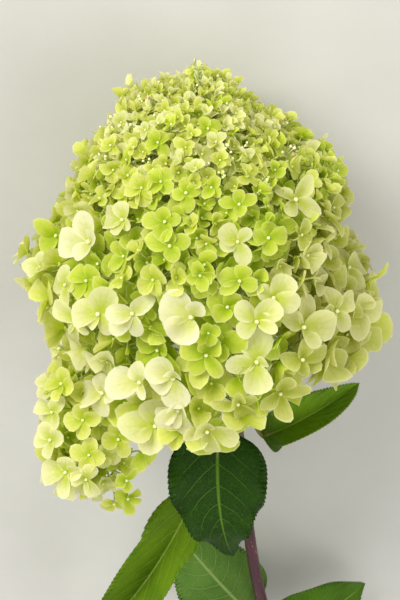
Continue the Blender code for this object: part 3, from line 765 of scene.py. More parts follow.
# Florets that the photograph shows clearly: the tint, the pixel of the bead, the lean of the face to the right
# and up, and each petal's direction in the picture, length and width in millimetres, and lift
FRONT = {
    # The middle
    "large_middle": (
        "pale", (191, 317), (0.0, 0.0),
        (147, 15, 16, 8), (65, 15, 9, 50), (-120, 13, 16, 14), (190, 14, 12, -6)
    ),
    "below_middle": (
        "pale", (173, 378), (0.0, -0.1),
        (140, 13, 13, 8), (200, 12, 12, 0), (78, 11, 8, 45), (-88, 14, 14, 6)
    ),
    "right_low": (
        "cream", (256.5, 362), (0.0, 0.0),
        (92, 14, 15, 12), (188, 14, 9, 8), (-92, 14, 13, 4), (25, 8, 6, 50)
    ),
    "right_high": (
        "cream", (256.5, 321.7), (0.0, 0.0),
        (140, 12, 9, 10), (48, 13, 12, 10), (-18, 11, 6, 30), (-145, 10, 8, 0)
    ),
    "middle_low": (
        "lime", (206, 355), (0.0, 0.0), (150, 12, 13, 8), (70, 9, 11, 14), (-58, 11, 7, 20), (-130, 11, 9, 6)
    ),
    "small_green": (
        "lime_deep", (208, 333), (0.1, 0.0),
        (20, 6, 6, 20), (110, 6, 6, 30), (200, 7, 7, 16), (-70, 6, 6, 24)
    ),
    # The right and the lower rim
    "right_round": (
        "cream", (273, 298), (0.1, 0.1),
        (55, 12, 12, 6), (-20, 12, 10, 14), (150, 8, 8, 30), (-105, 8, 8, 20)
    ),
    "right_broad": (
        "olive_pale", (303, 327), (0.2, 0.0),
        (5, 16, 15, 16), (75, 14, 10, 10), (150, 12, 9, 8), (-50, 12, 7, 0)
    ),
    "right_dark": (
        "olive", (302, 359), (0.1, -0.2), (0, 13, 9, 10), (85, 9, 8, 20), (-95, 10, 8, 6), (170, 9, 8, 10)
    ),
    "pointed": (
        "olive", (280, 393), (0.0, -0.3), (5, 14, 8, 6), (-85, 14, 8, 4), (-140, 11, 7, 0), (75, 11, 9, 16)
    ),
    "low_middle": (
        "olive_pale", (207, 431), (0.0, -0.4),
        (-8, 15, 12, 10), (-80, 14, 9, 2), (100, 8, 10, 30), (170, 12, 7, 24)
    ),
    "low_right": (
        "olive", (237.5, 403.5), (0.1, -0.4),
        (-62, 13, 10, 4), (-175, 11, 6, 12), (20, 9, 7, 20), (95, 7, 7, 40)
    ),
    "low_left": (
        "pale", (178, 409), (-0.1, -0.5),
        (-120, 14, 12, 6), (-72, 16, 9, 14), (-145, 13, 9, -4), (90, 8, 9, 40)
    ),
    # The left
    "left_large": (
        "pale", (90, 242), (-0.3, 0.1),
        (112, 14, 11, 20), (190, 17, 14, 8), (-110, 10, 10, 16), (20, 8, 8, 40)
    ),
    "left_second": (
        "cream", (123, 220), (-0.2, 0.1),
        (170, 10, 11, 10), (-45, 7, 5, 30), (80, 8, 8, 20), (-110, 8, 7, 14)
    ),
    "left_low_a": (
        "cream", (99, 314), (-0.2, 0.0),
        (172, 12, 13, 8), (52, 15, 14, 10), (-55, 10, 9, 10), (-130, 8, 7, 10)
    ),
    "left_low_b": (
        "pale", (132.5, 313.5), (0.0, 0.0),
        (42, 11, 8, 16), (-80, 10, 7, 8), (172, 12, 9, 26), (-140, 13, 9, 6)
    ),
    "left_low_c": (
        "cream", (76, 321.5), (-0.3, -0.1),
        (150, 14, 9, 6), (-155, 11, 8, 0), (-100, 13, 8, 4), (-30, 8, 5, 20)
    ),
    "left_drop": (
        "cream", (57, 344), (-0.3, -0.4),
        (-110, 12, 9, 10), (120, 8, 7, 20), (-20, 7, 7, 14), (190, 7, 7, 20)
    ),
    # The lobe that hangs on the left, and what hangs from it
    "lobe_broad": (
        "pale", (140, 382), (-0.1, 0.0),
        (183, 15, 15, 10), (95, 9, 8, 26), (-150, 14, 10, 0), (-70, 8, 5, 20)
    ),
    "lobe_front": (
        "cream_lime", (118, 439.5), (0.0, 0.0), (190, 9, 9, 8), (105, 9, 8, 8), (22, 9, 8, 8), (-60, 9, 7, 8)
    ),
    "lobe_side": (
        "cream", (66, 472), (-0.3, -0.1), (170, 11, 12, 6), (-85, 12, 8, 10), (80, 8, 9, 14), (10, 8, 8, 14)
    ),
    "lobe_high": (
        "cream_lime", (62, 384), (-0.3, 0.1),
        (165, 10, 9, 10), (75, 8, 8, 20), (-20, 9, 9, 12), (-100, 9, 8, 14)
    ),
    "lobe_edge": (
        "cream", (53, 412), (-0.4, 0.0), (150, 9, 8, 14), (60, 9, 8, 16), (-40, 9, 9, 10), (-130, 9, 8, 14)
    ),
    "lobe_edge_low": (
        "cream", (51, 440), (-0.4, -0.1), (120, 9, 9, 12), (185, 10, 8, 10), (-80, 9, 8, 10), (20, 9, 9, 16)
    ),
    "lobe_inner": (
        "cream_lime", (83, 420), (-0.1, 0.1),
        (100, 9, 8, 18), (10, 9, 8, 14), (-85, 9, 8, 14), (185, 9, 9, 12)
    ),
    "lobe_shoulder": (
        "pale", (103, 393), (-0.1, 0.1), (180, 14, 13, 6), (-100, 11, 11, 8), (95, 9, 9, 24), (5, 8, 9, 24)
    ),
    "lobe_middle": (
        "cream_lime", (89, 455), (-0.1, 0.0),
        (80, 8, 8, 18), (170, 9, 8, 12), (-100, 8, 8, 14), (-10, 8, 8, 14)
    ),
    "lobe_bottom": (
        "cream", (86, 479), (-0.1, -0.2), (-60, 10, 8, 8), (-120, 10, 8, 8), (60, 8, 8, 18), (150, 8, 8, 18)
    ),
    "lobe_behind": (
        "lime", (143, 452), (0.2, 0.0), (100, 9, 8, 14), (20, 9, 8, 14), (-120, 10, 9, 8), (-40, 8, 8, 12)
    ),
    "hanging_a": (
        "lime", (126, 480), (0.1, -0.2), (150, 8, 6, 14), (28, 7, 6, 8), (-80, 7, 5, 6), (-150, 6, 5, 6)
    ),
    "hanging_b": (
        "lime", (129, 500), (0.0, -0.2), (135, 7, 7, 8), (50, 8, 7, 6), (-85, 11, 6, 4), (-20, 7, 6, 8)
    ),
    "hanging_c": (
        "cream_lime", (114, 503), (-0.2, -0.3),
        (-120, 8, 7, 6), (160, 6, 6, 20), (70, 5, 5, 24), (-30, 6, 6, 10)
    ),
    # Above the middle
    "high_right": (
        "olive_pale", (295, 200), (0.2, 0.1),
        (48, 13, 8, 10), (-30, 13, 8, 8), (150, 9, 7, 10), (-120, 9, 7, 10)
    ),
    "high_round": (
        "cream", (237.5, 242), (0.0, 0.0),
        (150, 10, 10, 8), (-70, 10, 8, 14), (45, 8, 6, 20), (-160, 8, 7, 10)
    ),
    "high_open": (
        "lime", (239, 204.6), (0.0, 0.1), (28, 8, 6, 14), (172, 9, 6, 12), (95, 7, 6, 26), (-85, 6, 6, 20)
    ),
    "high_side": (
        "lime", (268, 238), (0.1, 0.0), (8, 9, 8, 12), (80, 7, 8, 12), (175, 8, 7, 10), (-85, 8, 7, 12)
    ),
    "high_pair": (
        "lime", (239.5, 281), (0.0, 0.0), (-20, 8, 7, 14), (70, 8, 8, 20), (160, 9, 9, 12), (-145, 9, 6, 14)
    ),
    "upper_a": (
        "lime", (165, 222), (0.0, 0.0), (10, 7, 6, 26), (175, 10, 8, 12), (-95, 9, 9, 14), (95, 7, 7, 26)
    ),
    "upper_b": (
        "lime", (170, 246), (0.0, 0.0), (20, 9, 8, 20), (165, 11, 9, 8), (-75, 7, 8, 16), (95, 7, 7, 26)
    ),
    "upper_c": (
        "lime", (186, 193), (0.0, 0.0), (10, 6, 6, 20), (100, 6, 6, 30), (190, 6, 6, 20), (-80, 8, 7, 14)
    ),
    "upper_d": (
        "lime", (161, 182), (0.0, 0.1), (45, 7, 7, 20), (135, 7, 7, 20), (-135, 7, 7, 16), (-45, 7, 7, 16)
    ),
    "upper_e": (
        "lime", (208, 129), (0.0, 0.0), (30, 6, 6, 16), (120, 6, 6, 16), (210, 6, 6, 16), (-60, 6, 6, 16)
    ),
    "upper_f": (
        "cream_lime", (142, 188), (-0.1, 0.0),
        (30, 7, 7, 20), (120, 7, 7, 22), (190, 8, 7, 16), (-80, 8, 9, 16)
    ),
    "upper_g": (
        "lime", (158, 143), (0.0, 0.1), (35, 6, 6, 20), (125, 6, 6, 24), (215, 6, 6, 18), (-55, 7, 6, 14)
    ),
    # The left edge
    "left_hollow": (
        "lime", (87, 281), (-0.2, 0.0), (40, 9, 9, 14), (130, 9, 9, 14), (-140, 10, 9, 8), (-45, 9, 9, 12)
    ),
    "left_edge_a": (
        "cream", (66, 285), (-0.3, 0.0), (80, 9, 7, 20), (180, 10, 9, 8), (-90, 10, 7, 8), (0, 8, 7, 20)
    ),
    # The lobe on the right
    "lobe_right_a": (
        "olive_pale", (348, 268), (0.3, 0.1),
        (100, 14, 14, 8), (20, 13, 12, 8), (-70, 13, 12, 10), (190, 12, 11, 10)
    ),
    "lobe_right_b": (
        "olive_pale", (336, 311), (0.3, 0.0),
        (30, 12, 10, 8), (110, 11, 10, 14), (-60, 11, 9, 6), (190, 10, 9, 10)
    ),
}


def front_florets(rng, masses):
    """The blossoms of the front, set on the head's surface where the photograph shows them."""
    right, up, back = view_axes()
    florets = []
    for tint, pixel, (lean_right, lean_up), *petals in FRONT.values():
        place, normal = seen_at(pixel, FRONT_SINK)
        facing = FRONT_ALONG_NORMAL * normal + (1 - FRONT_ALONG_NORMAL) * back
        facing = (facing + lean_right * right + lean_up * up).normalized()
        made = []
        first = math.radians(petals[0][0])
        side = right * math.cos(first) + up * math.sin(first)
        for turn, length, width, lift in petals:
            direction = math.radians(turn) - first
            made.append(Petal(direction, length / 1000, width / 1000, math.radians(lift), rng, FRONT_POINT))
        radius = max(petal.length for petal in made)
        florets.append(Floret(place, facing, side, made, tint, radius, nearest(masses, place)))
    return florets


def nearest(masses, place):
    return min(masses, key=lambda mass: (mass.centre - place).length)


def tint_for(place, along, rng):
    """Cream on the left, low down and at the tip, olive on the lower right, and lime in the middle."""
    left = between(0, 1, 0.5 - place.x / 0.15)
    high = between(0, 1, (along - 0.06) / 0.09)
    band = math.exp(-(((along - BAND_AT) / BAND_WIDTH) ** 2))
    # On top of a random mix of the blossom's own tints, the side paints light and shade: cream left, olive
    # lower right
    roll = rng.random() + BY_LIT_SIDE * (left - 0.5) + BY_HEIGHT * high - BY_BAND * band
    if left < OLIVE_SHADE_SIDE and high < OLIVE_HEIGHT:
        return "olive" if roll < OLIVE_SHARE else "olive_pale" if roll < OLIVE_PALE_SHARE else "cream_lime"
    if roll < LIME_SHARE:
        return "lime"
    return "cream_lime" if roll < CREAM_LIME_SHARE + HIGH_SHARE * high else "cream"


def surface_spots(rng):
    """Places all over the head's surface, a small step apart, in a mixed order, as along and around."""
    spots = []
    along = 0.0
    while along < HEAD_LENGTH:
        count = max(1, round(math.tau * head_radius(along, math.pi / 2) / SPOT_PITCH))
        first = rng.random()
        for k in range(count):
            around = math.tau * (k + first) / count
            if along > rim(around) - RIM_MARGIN * floret_radius(along):
                spots.append((along, around))
        walked, step = 0, 0.0002
        while walked < SPOT_PITCH and along < HEAD_LENGTH:
            here = head_surface(along, math.pi / 2)
            along += step
            walked += (head_surface(min(along, HEAD_LENGTH), math.pi / 2) - here).length
    rng.shuffle(spots)
    return spots


def clump(point):
    """How far the blossom swells out or sinks in here, in soft lumps."""
    return CLUMP_HEIGHT * (noise.noise(point / CLUMP_SIZE) + 0.4 * noise.noise(2.3 * point / CLUMP_SIZE))


def clumped(along, around, sink):
    """A place on the head's surface with its lumps, this much deeper, and the way out of the head there."""
    normal = head_normal(along, around)
    place = head_surface(along, around)
    return place + (clump(place) - sink) * normal, normal


def lobe_spots(rng, name):
    """Places all round a lobe, on the side that faces away from the head, with the way out of it."""
    centre, reach = LOBES[name][2:]
    out = centre - rachis(centre.y + reach)
    golden = math.pi * (3 - math.sqrt(5))
    to_out = out.to_track_quat("Z", "Y")
    cap = math.tau * reach**2 * (1 - math.cos(LOBE_CAP_ANGLE))
    count = round(cap / SPOT_PITCH**2)
    spots = []
    for index in range(count):
        height = 1 - (1 - math.cos(LOBE_CAP_ANGLE)) * (index + 0.5) / count
        ring = math.sqrt(max(0, 1 - height * height))
        turn = index * golden
        direction = to_out @ Vector((ring * math.cos(turn), ring * math.sin(turn), height))
        spots.append((centre + (reach - LOBE_SINKS[name] * LOBE_FLORET_RADIUS) * direction, direction))
    rng.shuffle(spots)
    return spots


def base_spots(rng):
    """Places across the open base of the head, round the stem, where the lowest florets hang."""
    for index in range(BASE_FILL):
        around = math.tau * rng.random()
        share = math.sqrt(rng.uniform(BASE_SHARE_LOW**2, BASE_SHARE_HIGH**2))
        along = rim(around) + rng.uniform(*BASE_DEPTHS)
        place = rachis(along) + share * head_reach(along, around) * radial(around)
        yield place, (share * radial(around) + BASE_FACING).normalized()


def jitter(rng, reach):
    """A random step within a cube of this half size."""
    return Vector([rng.uniform(-1, 1) for axis in range(3)]) * reach


def listed(faces):
    """Faces as lists, in which one with a point twice is a triangle."""
    return [face[:3] if face[2] == face[3] else face for face in faces.tolist()]


def coarse_shape(floret):
    """A floret's petals with few faces, in its own frame."""
    shape = Skin()
    for petal in floret.petals:
        shape.add(*petal.shape(2, 5), 0)
    return np.concatenate(shape.points), listed(np.concatenate(shape.faces))


def placed_tree(shape, floret):
    """A coarse shape, turned and moved to where its floret is, for finding what it cuts."""
    turn, place = floret.frame()
    return BVHTree.FromPolygons((shape[0] @ turn + place).tolist(), shape[1])


class Crowd:
    """The florets so far, and a coarse shape of each, for finding a place where a new one hits the least."""

    def __init__(self, obstacles):
        self.florets = []
        self.obstacles = obstacles
        self.places = np.zeros((0, 3))
        self.reaches = np.zeros(0)
        self.layers = np.zeros(0)
        self.trees = []
        self.bud_places = np.zeros((0, 3))
        self.front = 0

    def keep(self, floret, tree, layer):
        self.florets.append(floret)
        self.trees.append(tree)
        self.places = np.concatenate([self.places, [tuple(floret.place)]])
        self.reaches = np.append(self.reaches, floret.radius)
        self.layers = np.append(self.layers, layer)

    def hits(self, tree, floret):
        """How many faces of neighbours and leaves a floret cuts, and more where it hides a front one."""
        apart = np.linalg.norm(self.places - np.array(floret.place), axis=1)
        near = np.nonzero(apart < self.reaches + floret.radius)[0]
        count = sum(len(tree.overlap(self.trees[at])) for at in near)
        for at in near[near < self.front]:
            other = self.florets[at]
            away = floret.place - other.place
            height = away.dot(other.facing)
            aside = (away - height * other.facing).length
            reach = HIDING_OTHER * other.radius + HIDING_OWN * floret.radius
            if height > HIDING_HEIGHT * floret.radius and aside < reach:
                count += HIDING_COST
        return count + sum(LEAF_COST * len(tree.overlap(leaf)) for leaf in self.obstacles)

    def crowded(self, place, radius, layer, own, others):
        """True where a floret of this or of another layer, or a group of buds, is too near."""
        apart = np.linalg.norm(self.places - np.array(place), axis=1)
        share = np.where(self.layers == layer, own, others)
        from_buds = np.linalg.norm(self.bud_places - np.array(place), axis=1)
        near = np.any(apart < share * (self.reaches + radius))
        return bool(near or np.any(from_buds < BUD_ROOM + own * radius))

    def settle(self, floret, normal, layer, rng):
        """Tries depths, leans and turns near the floret's own and keeps what hits the least."""
        shape = coarse_shape(floret)
        start, facing, side = floret.place.copy(), floret.facing.copy(), floret.side.copy()
        best = None
        for depth in TRIED_DEPTHS:
            for trial in range(TRIALS):
                floret.facing = (facing + jitter(rng, FACING_JITTER)).normalized()
                floret.side = Quaternion(facing, rng.uniform(0, math.tau)) @ side
                floret.place = start - depth * floret.radius * normal
                lift_off_floor(floret, shape[0])
                tree = placed_tree(shape, floret)
                cost = self.hits(tree, floret) + DEPTH_COST * depth
                if best is None or cost < best[0]:
                    best = (cost, floret.place.copy(), floret.facing.copy(), floret.side.copy(), tree)
                if cost < CLEAR:
                    break
            if best[0] < FAIR:
                break
        if best[0] <= MOST_HITS:
            floret.place, floret.facing, floret.side = best[1:4]
            self.keep(floret, best[4], layer)


def lift_off_floor(floret, points):
    """Raises a floret that would sink into the floor until it lies on it."""
    turn, place = floret.frame()
    lowest = (points @ turn + place)[:, 2].min()
    if lowest < FLOOR_CLEAR:
        floret.place.z += FLOOR_CLEAR - lowest


def grow_florets(masses, obstacles):
    """All the blossom: first what the photograph shows plainly, then layer by layer from the surface in."""
    rng = random.Random(SEED)
    crowd = Crowd(obstacles)
    for floret in front_florets(rng, masses):
        crowd.keep(floret, placed_tree(coarse_shape(floret), floret), FRONT_LAYER)
    crowd.front = len(crowd.florets)
    groups = bud_groups(crowd, rng)
    for depth, layer in enumerate(LAYERS):
        for name in LOBES:
            for place, normal in lobe_spots(rng, name):
                add_floret(crowd, masses, place, normal, 0.0, LOBE_FLORET_RADIUS, layer, depth, rng)
        for along, around in surface_spots(rng):
            place, normal = clumped(along, around, 0)
            add_floret(crowd, masses, place, normal, along, floret_radius(along), layer, depth, rng)
    for place, normal in base_spots(rng):
        add_floret(crowd, masses, place, normal, 0.0, floret_radius(0), LAYERS[-1], len(LAYERS), rng)
    return crowd.florets, groups


def bud_groups(crowd, rng):
    """Places near the tip for groups of buds, with the way out of the head there."""
    groups = []
    for along, around in surface_spots(rng):
        place, normal = clumped(along, around, BUD_SINK)
        if len(groups) == BUD_GROUPS:
            break
        if along > BUDS_FROM and not crowd.crowded(place, BUD_ROOM, 0, 1.4, 0.8):
            crowd.bud_places = np.concatenate([crowd.bud_places, [tuple(place)]])
            groups.append((place, normal))
    return groups


def add_floret(crowd, masses, place, normal, along, radius, layer, depth, rng):
    """Sets one ordinary floret at a spot, if there is room for it."""
    radius *= layer.size * rng.uniform(1 - FLORET_SPREAD, 1 + FLORET_SPREAD)
    place = place - rng.uniform(layer.high, layer.low) * radius * normal
    openness = between(1, 0, (along - YOUNG_FROM) / YOUNG_OVER)
    near = between(YOUNG_NEARER, 1, openness)
    if place.z < FLOOR_MARGIN or below_base(place, radius):
        return
    if crowd.crowded(place, radius, depth, near * layer.own, near * layer.others):
        return
    openness *= rng.uniform(LEAST_OPEN, 1)
    tint = tint_for(place, along, rng)
    if depth and along < BUDS_FROM:
        tint = SHADED.get(tint, tint)
    petals = petals_of(radius, openness, rng)
    floret = Floret(place, normal, normal.orthogonal(), petals, tint, radius, nearest(masses, place))
    floret.detail = max(layer.detail, 1 if normal.z < BACK_FACING else 0)
    crowd.settle(floret, normal, depth, rng)


# Materials


class Graph:
    """A short way to write a material's nodes."""

    def __init__(self, name):
        self.material = bpy.data.materials.new(name)
        self.material.use_nodes = True
        self.tree = self.material.node_tree
        self.shader = self.tree.nodes["Principled BSDF"]

    def put(self, socket, value):
        if isinstance(value, bpy.types.NodeSocket):
            self.tree.links.new(value, socket)
        else:
            socket.default_value = value

    def node(self, kind, inputs=(), **settings):
        made = self.tree.nodes.new(kind)
        for key, value in settings.items():
            setattr(made, key, value)
        for key, value in dict(inputs).items():
            self.put(made.inputs[key], value)
        return made

    def math(self, operation, first, second=0.0):
        return self.node("ShaderNodeMath", {0: first, 1: second}, operation=operation).outputs[0]

    def plus(self, first, second):
        return self.math("ADD", first, second)

    def times(self, first, second):
        return self.math("MULTIPLY", first, second)

    def mix(self, factor, first, second):
        return self.node("ShaderNodeMix", {0: factor, 6: first, 7: second}, data_type="RGBA").outputs[2]

    def smooth(self, value, low, high, to_low=0.0, to_high=1.0):
        made = self.node(
            "ShaderNodeMapRange",
            {"Value": value, "From Min": low, "From Max": high, "To Min": to_low, "To Max": to_high},
            interpolation_type="SMOOTHSTEP",
        )
        return made.outputs[0]

    def noise(self, scale, detail=3.0, where=None, stretch=None):
        if where is None:
            where = self.node("ShaderNodeTexCoord").outputs["Object"]
        if stretch is not None:
            where = self.node("ShaderNodeMapping", {"Vector": where, "Scale": stretch}).outputs[0]
        return self.node("ShaderNodeTexNoise", {"Vector": where, "Scale": scale, "Detail": detail}).outputs[0]

    def pattern(self):
        """A piece's own pattern, whole and as its two coordinates."""
        where = self.node("ShaderNodeUVMap", uv_map="pattern").outputs[0]
        parts = self.node("ShaderNodeSeparateXYZ", {0: where})
        return where, parts.outputs[0], parts.outputs[1]

    def bump(self, height, distance, strength):
        made = self.node("ShaderNodeBump", {"Height": height, "Distance": distance, "Strength": strength})
        self.put(self.shader.inputs["Normal"], made.outputs[0])

    def glow_through(self, colour, share):
        """Lets some of the light behind a thin blade through it."""
        thin = self.node("ShaderNodeBsdfTranslucent", {"Color": colour})
        both = self.node("ShaderNodeMixShader", {0: share, 1: self.shader.outputs[0], 2: thin.outputs[0]})
        self.put(self.tree.nodes["Material Output"].inputs[0], both.outputs[0])

    def finish(self, colour, roughness):
        self.put(self.shader.inputs["Base Color"], colour)
        self.put(self.shader.inputs["Roughness"], roughness)
        return self.material


def petal_material(name, heart, edge):
    """Green at its heart and pale at its rim, with fine veins that fan out from its foot."""
    graph = Graph(name)
    out, across = graph.pattern()[1:]
    mottle = graph.noise(420.0)
    drift = graph.times(graph.math("SUBTRACT", mottle, 0.5), 0.5)
    share = graph.smooth(graph.plus(out, drift), 0.12, 0.96)
    colour = graph.mix(share, srgb(heart), srgb(edge))
    fan = graph.times(graph.plus(across, graph.times(drift, 0.12)), 62.0)
    waves = graph.math("SINE", fan)
    spread = graph.smooth(out, 0.12, 0.45)
    veins = graph.times(graph.smooth(waves, 0.55, 1.0), spread)
    inside = graph.smooth(out, 1.0, 0.55)
    colour = graph.mix(graph.times(graph.times(veins, inside), 0.28), colour, srgb(heart))
    # A thin pale line along the rim: partly the sepal's own pale edge, partly a painted highlight where the
    # rim catches light
    line = graph.smooth(out, 0.88, 1.0)
    colour = graph.mix(graph.times(line, 0.42), colour, srgb(PALE_RIM_AND_HIGHLIGHT))
    graph.bump(graph.plus(graph.times(veins, -0.5), mottle), 0.00012, 0.7)
    graph.shader.inputs["Specular IOR Level"].default_value = 0.30
    graph.glow_through(colour, 0.48)
    return graph.finish(colour, graph.smooth(mottle, 0.3, 0.7, 0.48, 0.64))


def bead_material(name, pale, base):
    """Waxy, in two tints that drift into each other."""
    graph = Graph(name)
    cloud = graph.noise(900.0)
    colour = graph.mix(graph.smooth(cloud, 0.35, 0.75), srgb(pale), srgb(base))
    graph.bump(cloud, 0.00008, 0.5)
    return graph.finish(colour, graph.smooth(cloud, 0.2, 0.8, 0.30, 0.42))


def stalk_material(name, pale, green):
    """A thin stalk, paler in streaks along it."""
    graph = Graph(name)
    where = graph.pattern()[0]
    streak = graph.noise(1.0, where=where, stretch=(180.0, 9.0, 1.0))
    colour = graph.mix(graph.smooth(streak, 0.3, 0.7), srgb(pale), srgb(green))
    graph.bump(streak, 0.0001, 0.5)
    return graph.finish(colour, graph.smooth(streak, 0.2, 0.8, 0.45, 0.6))


def bark_material():
    """Dark purple, streaked along the stem, with pale raised pores, and green where it runs into the head."""
    graph = Graph("stem_bark")
    where = graph.pattern()[0]
    streak = graph.noise(1.0, detail=6.0, where=where, stretch=(60.0, 22.0, 1.0))
    cloud = graph.noise(1.0, where=where, stretch=(28.0, 3.0, 1.0))
    colour = graph.mix(graph.smooth(streak, 0.32, 0.70), srgb("#2C0A16"), srgb("#4E1628"))
    colour = graph.mix(graph.smooth(cloud, 0.45, 0.75, 0.0, 0.55), colour, srgb("#60282C"))
    cells = graph.node("ShaderNodeMapping", {"Vector": where, "Scale": (170.0, 9.0, 1.0)}).outputs[0]
    spots = graph.node("ShaderNodeTexVoronoi", {"Vector": cells, "Scale": 1.0, "Randomness": 1.0}).outputs[0]
    pores = graph.smooth(spots, 0.20, 0.10)
    colour = graph.mix(graph.times(pores, 0.75), colour, srgb("#98705A"))
    where = graph.node("ShaderNodeTexCoord").outputs["Object"]
    ahead = graph.node("ShaderNodeSeparateXYZ", {0: where}).outputs[1]
    green = graph.smooth(ahead, -0.012, 0.045)
    soft = graph.mix(graph.smooth(streak, 0.3, 0.7), srgb("#93A648"), srgb("#7C8C3A"))
    colour = graph.mix(green, colour, soft)
    graph.bump(graph.plus(streak, pores), 0.0003, 0.8)
    return graph.finish(colour, graph.smooth(streak, 0.2, 0.8, 0.34, 0.52))


def cut_material():
    """The cut end: a green rim under the bark, pale wood with fine rays, and a soft white pith."""
    graph = Graph("cut_wood")
    where, out = graph.pattern()[:2]
    rays = graph.noise(1.0, where=where, stretch=(3.0, 90.0, 1.0))
    grain = graph.noise(2600.0)
    colour = graph.mix(graph.smooth(rays, 0.35, 0.65), srgb("#D9D3A4"), srgb("#C2BC84"))
    colour = graph.mix(graph.smooth(out, 0.34, 0.27), colour, srgb("#F1EDDC"))
    colour = graph.mix(graph.smooth(out, 0.84, 0.93), colour, srgb("#8E9A45"))
    graph.bump(graph.plus(rays, grain), 0.0002, 0.7)
    return graph.finish(colour, graph.smooth(grain, 0.2, 0.8, 0.6, 0.8))


def leaf_material(name, light, dark, vein):
    """A blade with a pale midrib, side veins that bow toward the tip, and a fine net between them."""
    graph = Graph(name)
    along, across = graph.pattern()[1:]
    offset = graph.math("ABSOLUTE", across)
    bow = graph.times(graph.math("POWER", offset, 1.35), LEAF_VEIN_SLOPE)
    wander = graph.times(graph.math("SUBTRACT", graph.noise(90.0), 0.5), 0.035)
    place = graph.times(graph.plus(graph.math("SUBTRACT", along, bow), wander), LEAF_VEINS)
    within = graph.math("FRACT", graph.plus(place, 10.0))
    apart = graph.math("ABSOLUTE", graph.math("SUBTRACT", within, 0.5))
    side_veins = graph.smooth(apart, 0.050, 0.012)
    fading = graph.smooth(offset, 1.0, 0.5)
    midrib = graph.smooth(offset, 0.050, 0.012)
    cells = graph.node("ShaderNodeTexVoronoi", {"Scale": 520.0}, feature="DISTANCE_TO_EDGE")
    graph.put(cells.inputs["Vector"], graph.node("ShaderNodeTexCoord").outputs["Object"])
    net = graph.smooth(cells.outputs[0], 0.07, 0.0)
    cloud = graph.noise(38.0, detail=5.0)
    colour = graph.mix(graph.smooth(cloud, 0.35, 0.68), srgb(light), srgb(dark))
    near = graph.smooth(apart, 0.0, 0.5)
    colour = graph.mix(graph.times(near, 0.30), colour, srgb(light))
    colour = graph.mix(graph.times(net, 0.22), colour, srgb(vein))
    colour = graph.mix(graph.times(graph.times(side_veins, fading), 0.55), colour, srgb(vein))
    colour = graph.mix(graph.times(midrib, 0.85), colour, srgb(vein))
    lines = graph.plus(graph.times(side_veins, 1.4), graph.times(net, 0.35))
    graph.bump(graph.math("SUBTRACT", graph.times(cloud, 0.8), lines), 0.0003, 0.8)
    graph.shader.inputs["Specular IOR Level"].default_value = 0.12
    graph.glow_through(colour, LEAF_GLOW)
    return graph.finish(colour, graph.smooth(cloud, 0.25, 0.75, 0.44, 0.58))


def floor_material():
    """Pale, with a barely visible unevenness."""
    graph = Graph("pale_floor")
    cloud = graph.noise(14.0, detail=6.0)
    colour = graph.mix(graph.smooth(cloud, 0.3, 0.7), srgb("#C2C1BC"), srgb("#BCBBB5"))
    graph.bump(graph.noise(260.0), 0.0002, 0.3)
    return graph.finish(colour, 0.75)


# The pieces


def leaf_midrib(start, crown, tip, share):
    """A point of the midrib: one arch from the blade's start over its crown to its tip."""
    control = 2 * crown - (start + tip) / 2
    return (1 - share) ** 2 * start + 2 * share * (1 - share) * control + share**2 * tip


def leaf_half_width(share, powers):
    """The blade's half width along the midrib, as a share of the widest."""
    to_base, to_tip = powers
    widest = to_base / (to_base + to_tip)
    top = widest**to_base * (1 - widest) ** to_tip
    return share**to_base * (1 - share) ** to_tip / top


def vein_height(share, across):
    """The blade's relief: sunk along the midrib and side veins, and quilted up between them."""
    place = (share - LEAF_VEIN_SLOPE * abs(across) ** 1.35) * LEAF_VEINS
    apart = abs((place + 10) % 1 - 0.5)
    return LEAF_QUILT * (apart * 2 - 0.5) * min(1, 4 * abs(across)) * (1 - abs(across) ** 3)


def leaf_points(spec):
    """The blade as a grid of points, with serrate edges, a fold at the midrib and its own waves."""
    start, crown, tip = (Vector(point) for point in spec["midrib"])
    height, waves, phase = spec["wave"]
    points, pattern = [], []
    shares = [(tooth + step) / LEAF_TEETH for tooth in range(LEAF_TEETH) for step in LEAF_TOOTH_STEPS]
    shares.append(1.0)
    for share in shares:
        middle = leaf_midrib(start, crown, tip, share)
        ahead = (leaf_midrib(start, crown, tip, share + 0.01) - middle).normalized()
        side = ahead.cross(Vector((0, 0, 1))).normalized()
        side.rotate(Matrix.Rotation(math.radians(spec["roll"]), 3, ahead))
        up = side.cross(ahead)
        bend = math.radians(spec["fold"]) * min(1, LEAF_FOLD_RISE * share)
        tooth = (share * LEAF_TEETH) % 1 * LEAF_TOOTH_DEPTH * min(1, 12 * (1 - share), 12 * share)
        half = spec["half_width"] * leaf_half_width(min(share, 1), spec["powers"]) + 0.0004
        for across in np.linspace(-1, 1, LEAF_COLUMNS + 1):
            across = float(across)
            width = half * across + math.copysign(tooth, across) * abs(across) ** 12
            wave = height * math.sin(math.tau * waves * share + phase + (1.2 if across > 0 else 0))
            lift = vein_height(share, across)
            lift += wave * across * across * min(1, 3 * share) * min(1, 3 * (1 - share))
            point = middle + side * width * math.cos(bend) + up * (abs(width) * math.sin(bend) + lift)
            points.append(tuple(point + ahead * tooth * abs(across) ** 12))
            pattern.append((share, across))
    return np.array(points), np.array(pattern), grid_faces(len(shares), LEAF_COLUMNS + 1, closed=False)


